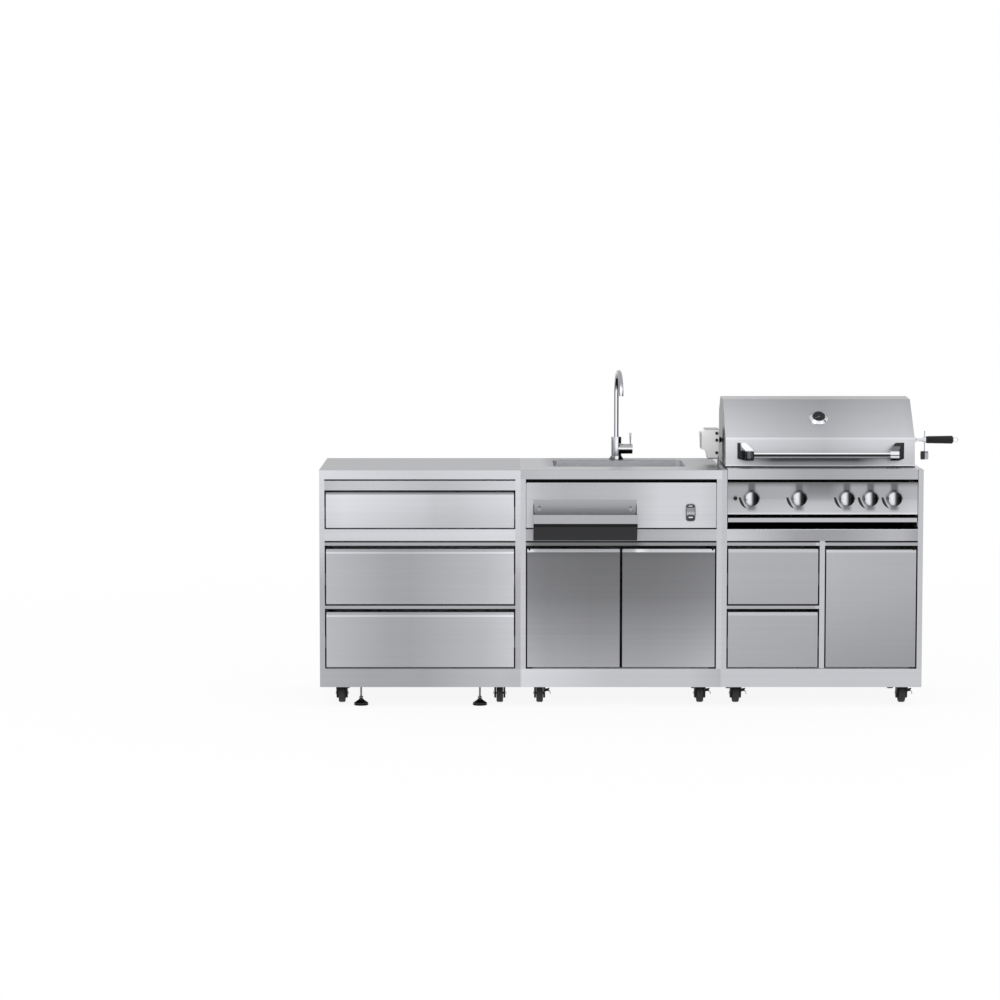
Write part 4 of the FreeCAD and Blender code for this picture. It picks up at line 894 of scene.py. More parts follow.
@dataclass(frozen=True)
class Head:
    """A screw head, nut or port: radii at its foot and top, its height and its sides."""

    foot: float
    top: float
    height: float
    sides: int

    def make(self, name: str, body: str, finish: Finish, points: Sequence[Vector],
             axis: Point) -> None:
        """Puts one head on each point, as one piece.

        Args:
            name: The piece's name.
            body: The body that carries it.
            finish: What it is finished in.
            points: Places in the frame, in metres.
            axis: Which way the heads point.
        """
        values = {"Axis": axis, "Foot Radius": self.foot * MM, "Top Radius": self.top * MM,
                  "Height": self.height * MM, "Sides": self.sides}
        HEADS.make(name, body, finish, values, points)


@dataclass
class Cabinets:
    """The three carcasses, their plinths, worktops, fronts and what slides in them."""

    module_width: float = 813.0
    modules: int = 3
    depth: float = 640.0
    skin: float = 0.75
    inner_edge: float = 0.8
    foot_z: float = 154.0
    head_z: float = 925.0
    deck_z: float = 961.3
    crown_z: float = 970.0
    crown_edge: float = 0.6
    opening_x: Span = (21.0, 792.0)
    near_y: Span = (-5.0, 100.0)
    high_rail_z: Span = (875.0, 920.0)
    rail_z: Span = (674.0, 723.0)
    rail_lip: float = 0.5
    strip_z: Span = (654.0, 669.0)
    low_strip_z: Span = (397.0, 412.0)
    post_x: Span = (2006.0, 2047.0)
    under_top_y: Span = (1.8, 630.0)
    under_top_z: Span = (905.0, 962.0)
    worktop_roughness: float = 0.36
    worktop_grain: Point = (1.0, 160.0, 160.0)
    front_depth: float = 24.0
    front_lap: float = 4.0
    bevel: float = 13.0
    door_bevel_z: Span = (629.5, 642.0)
    meeting_half: float = 1.8
    screw: Head = Head(4.5, 3.0, 2.2, 12)
    screw_stand: float = 0.8
    screw_inset: float = 10.5
    screw_end: float = 30.0
    screws_per_side: int = 5

    def build(self) -> None:
        """Dresses the cabinets and screws their back sheets on."""
        self.carcasses()
        self.plinths()
        self.worktops()
        dress("drawer_runners", ZINC)
        dress("door_hinges", SHADED_HINGE)
        self.drawers()
        self.grill_fronts()
        self.sink_doors()
        self.back_screws()

    def inside(self, module: int, level: float) -> Patch:
        """The carcass behind its front and within its outer skins, where little light comes.

        Args:
            module: The module's number from the left, from zero.
            level: Its grey; a darker one is painted shade.

        Returns:
            The patch.
        """
        start = module * self.module_width
        return Patch(level, x=(start + self.skin, start + self.module_width - self.skin),
                     y=(self.front_depth, self.depth - self.skin),
                     z=(self.foot_z + self.skin, self.deck_z), soft=(self.inner_edge,) * 3)

    def band(self, module: int, tone: Tone, z: Span, x: Optional[Span] = None) -> Patch:
        """A rail or finger strip across a module's front opening.

        Args:
            module: The module's number from the left, from zero.
            tone: Its grey or greys.
            z: Its foot and top.
            x: Its ends, where it doesn't run across the whole opening.

        Returns:
            The patch.
        """
        start = module * self.module_width
        whole = (start + self.opening_x[0], start + self.opening_x[1])
        return Patch(tone, x=x or whole, y=self.near_y, z=z)

    def under_top(self, low: float, high: float) -> Patch:
        """Painted shade in the hollow under a worktop or the grill, between two places along the
        run.
        """
        return Patch(30, x=(low, high), y=self.under_top_y, z=self.under_top_z)

    def carcasses(self) -> None:
        """Dresses the three carcasses."""
        # Painted light up the stiles and along the rails; painted shade on the finger strips.
        stile = upward((154, 177), (515, 180), (655, 203), (925, 218))
        high = across((0, 188), (81, 198), (226, 202), (469, 190), (566, 193), (813, 212))
        low = across((20, 208), (500, 212), (700, 219), (793, 220))
        patches = (self.inside(0, 225), self.band(0, high, self.high_rail_z),
                   self.band(0, low, self.rail_z), self.band(0, 174, self.low_strip_z),
                   self.band(0, 174, self.strip_z))
        dress("drawer_cabinet", BrushedSteel("Drawer cabinet steel", Paint(stile, None, patches)))
        # The sink's finger strip carries the bottle tray's painted shadow.
        rail = across((834, 175), (1294, 171), (1537, 191), (1605, 194))
        strip = across((834, 152), (866, 116), (1280, 116), (1320, 152), (1605, 158))
        patches = (self.inside(1, 150), self.band(1, rail, self.rail_z),
                   self.band(1, strip, (650, 670)), self.under_top(820, 1618))
        dress("sink_cabinet", BrushedSteel("Sink cabinet steel", Paint(202, None, patches)))
        # Painted light on the rail, a painted highlight atop it, painted shade behind the drip
        # tray.
        rail = across((1647, 206), (1779, 190), (1925, 163), (2022, 159), (2119, 162),
                      (2313, 184), (2362, 181), (2418, 164))
        strip = across((1647, 177), (2005, 172), (2418, 172))
        foot, top = self.rail_z
        left, right = (1647, self.post_x[0]), (self.post_x[1], 2418)
        patches = (self.inside(2, 150), self.band(2, rail, (foot, top + self.rail_lip)),
                   self.band(2, 225, (top - 3, top + self.rail_lip)),
                   self.band(2, strip, self.low_strip_z, left),
                   self.band(2, strip, self.strip_z, left),
                   self.band(2, strip, self.strip_z, right),
                   Patch(12, x=(1648, 2418), y=(500, 639.3), z=(650, 700), soft=(1.0, 1.0, 8.0)),
                   self.under_top(1640, 2425))
        dress("grill_cabinet", BrushedSteel("Grill cabinet steel", Paint(195, None, patches)))

    def plinths(self) -> None:
        """Dresses the plinths, with painted light that dips in the middle of each module."""
        run = across((0, 178), (202, 168), (425, 166), (728, 192), (812, 190), (813.5, 220),
                     (1173, 196), (1496, 196), (1610, 186), (1625, 181), (1627, 199),
                     (2439, 199))
        dress("base_frames", BrushedSteel("Plinth steel", Paint(run)))

    def worktops(self) -> None:
        """Dresses the folded worktops, with painted light: aprons lighter than their tops."""
        crown, soft = (self.deck_z, self.crown_z), (1.0, 1.0, self.crown_edge)
        apron = across((0, 221), (404, 207), (813, 217))
        self.worktop("Drawer", apron, (Patch(152, z=crown, soft=soft),))
        # Painted shade round the sink's bowl and the motor's painted shadow at its right end.
        apron = across((813, 188), (938, 194), (1229, 193), (1626, 214))
        deck = across((813, 165), (900, 165), (950, 122), (1440, 122), (1490, 146), (1547, 140),
                      (1600, 118), (1626, 118))
        edge = across((813, 165), (1440, 165), (1490, 152), (1600, 122), (1626, 120))
        tops = (Patch(deck, z=crown, soft=soft),
                Patch(edge, y=(-3, 178), z=crown, soft=(1.0, 8.0, self.crown_edge)))
        self.worktop("Sink", apron, tops)

    def worktop(self, module: str, apron: Shading, tops: tuple[Patch, ...]) -> None:
        """Dresses one worktop.

        Args:
            module: The module's name.
            apron: The greys of its folded edges.
            tops: Patches on its flat top.
        """
        finish = BrushedSteel(f"{module} worktop steel", Paint(apron, None, tops),
                              self.worktop_roughness, self.worktop_grain, slot="worktop_steel")
        dress(f"{module.lower()}_worktop", finish)

    def front(self, name: str, tone: Shading, cross: Shading, inside: float = 165,
              trims: tuple[Patch, ...] = ()) -> None:
        """Dresses a front and the box or liner behind it, painted darker as shade.

        Args:
            name: The front's node.
            tone: Its greys along one axis.
            cross: Factors along the other axis.
            inside: The grey of what stands behind the front sheet.
            trims: Patches on the front sheet itself.
        """
        patches = trims + (Patch(inside, y=(self.front_depth - self.front_lap, self.depth)),)
        dress(name, BrushedSteel("Front steel of " + name, Paint(tone, cross, patches)))

    def drawers(self) -> None:
        """Dresses the three wide drawers: drifting painted light, a painted highlight atop each.
        """
        high = ((0, 222), (0.1, 227), (0.5, 211), (0.58, 204), (0.7, 205), (1, 221))
        high_edge = ((-4, 254), (-2, 255), (2.5, 252), (4.5, 198))
        low = ((0, 222), (0.33, 199), (0.45, 197), (0.84, 222), (1, 241))
        low_edge = ((-6, 216), (-4, 254), (0.5, 254), (2.5, 210))
        for name, shares, edge, foot, head in (
                ("top_drawer", high, high_edge, 238, 194),
                ("middle_drawer", low, low_edge, 216, 200),
                ("bottom_drawer", low, low_edge, 216, 200)):
            start, end = reach(name, Axis.Z)
            stops = ((start, foot), *shifted(end - self.bevel, edge), (end, head))
            self.front(name, across(*spread(reach(name, Axis.X), shares)), upward(*stops), 215)

    def grill_fronts(self) -> None:
        """Dresses the two drawers and the door under the grill."""
        # Painted light growing upwards, with a painted highlight on each top bevel;
        # painted shade along the door's top edge, and a painted fall-off to the right.
        tones = {"upper_grill_drawer": ((0, 174), (0.45, 179), (0.93, 180), (0.96, 205), (1, 205)),
                 "lower_grill_drawer": ((0, 172), (0.4, 175), (0.93, 178), (0.96, 200), (1, 200)),
                 "grill_door": ((0, 160), (0.74, 182), (0.965, 184), (0.98, 210), (0.993, 205),
                                (0.996, 70), (1, 60))}
        even = ((0, 255), (0.5, 250), (1, 246))
        for name, shares in tones.items():
            tone = upward(*spread(reach(name, Axis.Z), shares))
            self.front(name, tone, across(*spread(reach(name, Axis.X), even)))

    def sink_doors(self) -> None:
        """Dresses the pair of doors, in painted shade towards the tray that hangs over them."""
        tone = upward((161, 184), (451, 138), (596, 129), (627, 122), (630, 215), (641, 210))
        # A painted highlight on the top bevel and painted shade where the doors meet;
        # the factor across is painted reflection.
        bevel = across((834, 205), (862, 255), (1290, 255), (1335, 205), (1605, 212))
        bevel_highlight = Patch(bevel, y=(-1, 20), z=self.door_bevel_z, soft=(1.0, 1.0, 1.5))
        cross = across((830, 255), (922, 238), (1100, 228), (1340, 231), (1472, 240),
                       (1602, 255))
        for name, corner in (("sink_door_left", 1), ("sink_door_right", 0)):
            meeting = about(reach(name, Axis.X)[corner], self.meeting_half)
            meeting_shade = Patch(8, x=meeting, soft=(0.5, 1.0, 1.0))
            self.front(name, tone, cross, trims=(bevel_highlight, meeting_shade))

    def back_screws(self) -> None:
        """Puts a row of screws down both sides of each back sheet."""
        step = (self.head_z - self.foot_z - 2 * self.screw_end) / (self.screws_per_side - 1)
        points = []
        for module in range(self.modules):
            for side in (self.screw_inset, self.module_width - self.screw_inset):
                for i in range(self.screws_per_side):
                    x = module * self.module_width + side
                    z = self.foot_z + self.screw_end + i * step
                    points.append(place(x, self.depth + self.screw_stand, z))
        self.screw.make("back_screws", "island", ZINC, points, (0.0, 1.0, 0.0))


@dataclass
class SinkStation:
    """Bowl, drain, faucet, front panel, bottle tray and opener."""

    drain_x: float = 1219.5
    drain_y: float = 347.5
    basket_z: float = 764.0
    basket_radius: float = 36.0
    basket_knob: tuple[Span, ...] = ((0, 1), (3, 1), (2.2, 5), (5, 9), (4.4, 12), (0, 13))
    hole: Head = Head(1.9, 1.9, 0.2, 8)
    hole_stand: float = 1.1
    hole_rings: tuple[tuple[float, int], ...] = ((10.0, 8), (19.0, 14), (28.0, 20))
    tray_end_z: Span = (776.0, 822.0)
    tray_socket: Head = Head(2.8, 2.8, 0.3, 6)
    tray_screw_x: Span = (888.5, 1257.5)
    tray_screw_y: float = -5.1
    tray_screw_z: float = 815.0
    faucet: Point = (1219.5, 600.0, 962.0)
    pipe_radius: float = 9.6
    tip_shift: float = 13.3
    sleeve: tuple[Span, ...] = ((0, 2.0), (6.6, 2.0), (6.6, -1.2), (8.4, -1.2), (8.8, 0.1),
                                (8.8, 3.0), (0, 3.0))
    screen: tuple[Span, ...] = ((0, 1.0), (6.5, 1.0), (6.5, 2.1), (0, 2.1))
    opener_x: float = 1499.0
    opener_edge: Span = (16.0, 23.0)

    def build(self) -> None:
        """Dresses the sink's nodes and adds its small parts."""
        dress("sink_bowl", BrushedSteel("Satin bowl steel", Paint(213), 0.38, (40.0,) * 3, 0.06))
        dress("sink_drain", CHROME)
        # The sink's front panel has painted light drifting along the run.
        run = across((833, 200), (906, 187), (1003, 180), (1246, 187), (1375, 211), (1537, 210),
                     (1606, 200))
        dress("sink_fascia", BrushedSteel("Sink panel steel", Paint(run), 0.3))
        self.tray()
        self.opener()
        self.column()
        self.spout()
        self.basket()
        self.tray_screws()
        self.aerator()

    def tray(self) -> None:
        """Dresses the bottle tray: pale lip, sloping underside and back plate in painted shade."""
        slope = upward((679, 60), (738, 58), (741, 38), (754, 38))
        back = upward((680, 150), (782, 196), (790, 178), (802, 160), (842, 172))
        low, high = reach("bottle_tray", Axis.X)
        # Painted shade on its ends, and a lighter strip along the foot of its back.
        ends = tuple(Patch(80, x=span, y=(-1.8, 1), z=self.tray_end_z, soft=(3.0, 0.4, 12.0))
                     for span in ((low - 1, low + 4), (high - 4, high + 1)))
        patches = (Patch(slope, y=(-99.5, -2), z=(679, 755), below=True),
                   Patch(back, y=(-1.6, 1), z=(680, 843), soft=(1.0, 0.4, 1.0)),
                   *ends,
                   Patch(190, y=(-49, 1), z=(678, 681), soft=(1.0, 1.0, 0.8)))
        dress("bottle_tray", BrushedSteel("Bottle tray steel", Paint(178, None, patches), 0.34))

    def opener(self) -> None:
        """Dresses the cast opener, in painted shade within its mouth and round its pocket."""
        x, (near, far) = self.opener_x, self.opener_edge
        # Painted shade in the mouth, along both sides and round the pocket;
        # painted highlights in the pocket and across the mouth, painted reflections down the body.
        patches = (Patch(28, x=about(x, 15.3), y=(-9.6, -3.3), z=(758.7, 783.6)),
                   Patch(90, x=(x - far, x - near), z=(750, 830), soft=(4.0, 1.0, 1.0)),
                   Patch(80, x=(x + near, x + far), z=(750, 830), soft=(4.0, 1.0, 1.0)),
                   Patch(40, x=about(x, 13.6), y=(-9.4, -2), z=(809.8, 821.7)),
                   Patch(190, x=about(x, 8), y=(-5, -2), z=(813.0, 819.0), soft=(4.0, 0.5, 3.0)),
                   Patch(230, x=about(x, 8.6), y=(-16, -4), z=(768, 775)))
        steel = upward((755, 95), (766, 115), (780, 150), (788, 188), (798, 140), (808, 150),
                       (814, 105), (825, 100))
        metal = PolishedMetal("Cast opener metal", Paint(steel, None, patches), 0.2)
        dress("bottle_opener", metal)

    def column(self) -> None:
        """Dresses the faucet's column, barrel and lever, bright on the left and dark right."""
        x, _, z = self.faucet
        # Painted reflections: bright left, dark right, banded on the barrel, lever and flange.
        tone = across(*shifted(x, ((-32, 150), (-21, 165), (-12, 205), (-7, 195), (-4.5, 205),
                                   (-3, 250), (8, 250), (10, 28), (21, 24), (32, 60))))
        barrel = upward(*shifted(z, ((21, 22), (39, 26), (41, 245), (47, 252), (50, 175),
                                     (64, 160), (70, 215), (140, 225))))
        foot = across(*shifted(x, ((-32, 70), (-20, 95), (-6, 120), (-4, 250), (6, 250),
                                   (9, 40), (32, 60))))
        patches = (Patch(barrel, x=(x + 9.5, x + 60), z=(z + 21, z + 65), soft=(1.0, 1.0, 2.0)),
                   Patch(foot, z=(z - 60, z + 12), soft=(1.0, 1.0, 3.0)))
        dress("faucet_body", PolishedMetal("Faucet column chrome", Paint(tone, None, patches)))
        dress("faucet_lever", PolishedMetal("Faucet lever chrome", Paint(barrel)))

    def spout(self) -> None:
        """Dresses the gooseneck: fine grey edges, white between, a dark inner bend."""
        x, y, z = self.faucet
        r = self.pipe_radius
        # Painted reflections: fine grey edges, white between, a dark inner bend, a paler arch.
        up = across(*shifted(x, ((-r, 130), (-4.5, 165), (-3, 250), (2.5, 245), (4, 105),
                                 (r, 115))))
        down = across(*shifted(x + self.tip_shift, ((-r, 130), (-6, 175), (-4, 235), (4, 240),
                                                    (6, 165), (r, 120))))
        patches = (Patch(down, y=(y - 230, y - 120)),
                   Patch(160, z=(z + 315, z + 400), soft=(1.0, 1.0, 30.0)),
                   Patch(32, x=(x - 4, x + 5), y=(y - 42, y + 14), z=(z + 306, z + 346),
                         soft=(3.0, 6.0, 16.0)))
        dress("faucet_spout", PolishedMetal("Faucet spout chrome", Paint(up, None, patches)))

    def basket(self) -> None:
        """A pressed strainer basket with a knob, lying in the drain."""
        centre = place(self.drain_x, self.drain_y, self.basket_z)
        r = self.basket_radius
        dish = [(0, 0), (r - 8, 0), (r, 5), (r + 3, 6), (r + 3, 6.8), (r - 0.5, 6), (r - 8.4, 1),
                (0, 1)]
        Shape(centre).lathe(dish, 40).finish("strainer_basket", "island", CHROME, True)
        Shape(centre).lathe(self.basket_knob, 20).finish("strainer_knob", "island", CHROME, True)
        # The basket's holes are discs of painted shade.
        points = []
        for radius, count in self.hole_rings:
            for i in range(count):
                angle = 2 * math.pi * i / count
                x = self.drain_x + radius * math.cos(angle)
                y = self.drain_y + radius * math.sin(angle)
                points.append(place(x, y, self.basket_z + self.hole_stand))
        self.hole.make("strainer_holes", "island", SHADOW, points, (0.0, 0.0, 1.0))

    def tray_screws(self) -> None:
        """Discs of painted shade in the sockets of the tray's two screws."""
        points = [place(x, self.tray_screw_y, self.tray_screw_z) for x in self.tray_screw_x]
        self.tray_socket.make("tray_screw_sockets", "island", SHADOW, points, (0.0, -1.0, 0.0))

    def aerator(self) -> None:
        """An outlet sleeve with a screen inside the spout's tip, black as painted shade."""
        low, _ = reach("faucet_spout", Axis.Z)
        tip, _ = reach("faucet_spout", Axis.Y)
        centre = place(self.faucet[0] + self.tip_shift, tip + self.pipe_radius, low)
        sleeve = Shape(centre).lathe(self.sleeve, 28)
        sleeve.finish("aerator_sleeve", "faucet_spout", CHROME, True)
        Shape(centre).lathe(self.screen, 20).finish("aerator_screen", "faucet_spout", SHADOW)


@dataclass
class GrillFront:
    """The control panel with its print, knobs and igniter, and the firebox and tray."""

    panel_y: float = 6.0
    knobs: int = 5
    arc_outer: float = 52.0
    arc_from: float = 175.0
    arc_to: float = 240.0
    arc_thin: float = 1.2
    arc_thick: float = 11.0
    arc_steps: int = 14
    arc_draw_in: float = 5.0
    arc_phase: Span = (0.2, 0.75)
    arc_bend: float = 0.9
    print_height: float = 0.25
    nub_reach: Span = (25.0, 33.0)
    nub_half: Span = (3.2, 1.6)
    nub_stand: float = 9.5
    nub_height: float = 4.0

    def build(self) -> None:
        """Dresses the grill's fixed nodes and adds print and pointers."""
        self.band()
        self.panel()
        # Painted shade in the recess under the drip tray's front.
        recess = upward((700, 4), (738, 4), (742, 22), (760, 34))
        patches = (Patch(recess, y=(1.2, 14)),)
        dress("drip_tray", BrushedSteel("Drip tray steel", Paint(191, None, patches)))
        dress("igniter_button", SOFT_BLACK)
        for i in range(1, self.knobs + 1):
            self.knob(i)
            self.nub(i)
            self.arc(i)

    def band(self) -> None:
        """Dresses the firebox: painted light on its front band, painted shade on its deck."""
        run = across((1626, 203), (1957, 170), (2054, 168), (2439, 187))
        # Painted shadow: a dull black line on the deck where the hood's front meets it;
        # painted shade inside the firebox.
        deck = Patch(8, x=(1646, 2415), y=(66, 101), z=(965.2, 970), soft=(1.0, 4.0, 0.4))
        patches = (deck, Patch(25, x=(1640, 2425), y=(2.5, 640), z=(700, 965)))
        steel = BrushedSteel("Grill band steel", Paint(run, None, patches), 0.3, matt=deck)
        dress("firebox", steel)

    def panel(self) -> None:
        """Dresses the control panel, with each knob's painted reflection as a soft dark streak."""
        # Painted shade at the top under the band and a painted highlight at its foot;
        # a painted dark reflection in the middle and each knob's painted shadow below it.
        tone = upward((782, 240), (786, 236), (790, 214), (839, 200), (845, 187), (891.6, 183),
                      (903.8, 155), (912, 110))
        cross = across((1647, 222), (1662, 228), (1836, 236), (2022, 238), (2200, 234),
                       (2345, 238), (2394, 248), (2418, 248))
        dark_reflection = upward((836, 166), (868, 141), (892, 128), (912, 104))
        patches = [Patch(dark_reflection, x=(1940, 2100), z=(838, 915), soft=(80.0, 1.0, 20.0))]
        for i in range(1, self.knobs + 1):
            middle = self.knob_x(i)
            patches += [Patch(108, x=about(middle, 14), z=(876, 915), soft=(10.0, 1.0, 6.0)),
                        Patch(124, x=about(middle, 16), z=(798, 820), soft=(16.0, 1.0, 14.0))]
        paint = Paint(tone, cross, tuple(patches))
        dress("control_panel", BrushedSteel("Control panel steel", paint, 0.3, contrast=0.08))

    @staticmethod
    def knob_x(number: int) -> float:
        """A knob's middle along the run, in island millimetres."""
        return sum(reach(f"knob_{number}", Axis.X)) / 2

    def knob(self, number: int) -> None:
        """Dresses a knob, painted bright towards the key light and painted dark on its right.

        Args:
            number: The knob's number from the left, from one.
        """
        tone = across(*shifted(self.knob_x(number), (
            (-29, 150), (-24, 220), (-12, 236), (-5, 210), (0, 120), (5, 48), (17, 14), (23, 10),
            (29, 60))))
        finish = PolishedMetal(f"Satin knob metal {number}", Paint(tone), 0.22, "knob_metal")
        dress(f"knob_{number}", finish)

    def before_panel(self, number: int, stand: float) -> Shape:
        """Starts a shape in front of the panel, about a knob's middle.

        Args:
            number: The knob's number from the left, from one.
            stand: How far in front of the panel it starts.

        Returns:
            The empty shape, whose Z points to the front.
        """
        middle = middle_of(f"knob_{number}")
        middle.y = place(0, self.panel_y - stand, 0).y
        return Shape(middle, (0.0, -1.0, 0.0))

    def nub(self, number: int) -> None:
        """A dark index nub on a knob's skirt, to its right when the gas is off.

        Args:
            number: The knob's number from the left, from one.
        """
        shape = self.before_panel(number, self.nub_stand)
        way = -1 if self.mirrored(shape) else 1
        near, far = sorted(way * end for end in self.nub_reach)
        wide, slim = self.nub_half
        corners = [(near, -wide), (far, -slim), (far, slim), (near, wide)]
        shape.plate(corners, 0.0, self.nub_height)
        shape.finish(f"knob_nub_{number}", f"knob_{number}", PRINT)

    def arc(self, number: int) -> None:
        """A printed crescent that narrows downwards, lower left of a knob.

        Args:
            number: The knob's number from the left, from one.
        """
        shape = self.before_panel(number, 0.0)
        way = -1 if self.mirrored(shape) else 1
        phase, sweep = self.arc_phase
        outer, inner = [], []
        for i in range(self.arc_steps + 1):
            share = i / self.arc_steps
            angle = math.radians(self.arc_from + (self.arc_to - self.arc_from) * share)
            swell = math.sin(math.pi * (phase + sweep * share) ** self.arc_bend)
            thick = self.arc_thin + (self.arc_thick - self.arc_thin) * swell
            rim = self.arc_outer - self.arc_draw_in * share
            for radius, side in ((rim, outer), (rim - thick, inner)):
                side.append((way * radius * math.cos(angle), radius * math.sin(angle)))
        shape.plate(outer + inner[::-1], 0.0, self.print_height)
        shape.finish(f"flame_arc_{number}", "island", PRINT)

    @staticmethod
    def mirrored(shape: Shape) -> bool:
        """Whether the shape's own X runs against the frame's X."""
        return shape.matrix.to_3x3().col[0].x < 0


@dataclass
class Burners:
    """Burners with their ports, flame tents, grates and the warming rack."""

    tubes: int = 4
    tent_half: float = 60.0
    tube_foot_z: float = 848.5
    tube_radius: float = 13.0
    port: Head = Head(1.1, 1.1, 0.25, 6)
    port_turn: float = 0.6
    first_port_y: float = 134.0
    port_pitch: float = 11.0
    port_count: int = 30
    tile_middle: Point = (2032.5, 474.0, 1009.0)
    tile_half: Span = (208.0, 34.0)
    tile_thick: Span = (-0.5, 1.2)
    tile_level: float = 205.0
    hole_stand: float = 1.3
    hole_field: Span = (400.0, 56.0)
    hole_counts: tuple[int, int] = (60, 9)
    hole_radius: float = 1.6

    def build(self) -> None:
        """Dresses the fire's nodes and marks its ports as discs of painted shade."""
        for name in ("gas_burners", "flame_tents", "cooking_grates", "warming_rack"):
            dress(name, BURNER_STEEL)
        self.ports()
        self.rear_plate()

    def ports(self) -> None:
        """Two rows of gas ports along each of the tubes, as discs of painted shade."""
        low, high = reach("flame_tents", Axis.X)
        pitch = (high - low - 2 * self.tent_half) / (self.tubes - 1)
        sideways, upwards = math.sin(self.port_turn), math.cos(self.port_turn)
        z = self.tube_foot_z + self.tube_radius * (1 + upwards)
        for side, name in ((-1, "left"), (1, "right")):
            start = low + self.tent_half + side * self.tube_radius * sideways
            points = [place(start + pitch * tube, self.first_port_y + i * self.port_pitch, z)
                      for tube in range(self.tubes) for i in range(self.port_count)]
            self.port.make(f"burner_ports_{name}", "island", SHADOW, points,
                           (side * sideways, 0.0, upwards))

    def rear_plate(self) -> None:
        """The rear burner's ceramic face, with its field of small holes as discs of painted shade.
        """
        front = place(*self.tile_middle)
        wide, tall = self.tile_half
        corners = [(-wide, -tall), (wide, -tall), (wide, tall), (-wide, tall)]
        shape = Shape(front, (0.0, -1.0, 0.0)).plate(corners, *self.tile_thick)
        tile = PlainCoat("Burner tile", self.tile_level, 0.9, slot="burner_steel")
        shape.finish("rear_burner_tile", "island", tile)
        (wide, tall), (columns, rows) = self.hole_field, self.hole_counts
        sizes = {"Middle": tuple(front - Vector((0, self.hole_stand * MM, 0))),
                 "Width": wide * MM, "Height": tall * MM, "Columns": columns, "Rows": rows,
                 "Disc Radius": self.hole_radius * MM}
        DISCS.make("rear_burner_holes", "island", SHADOW, sizes)


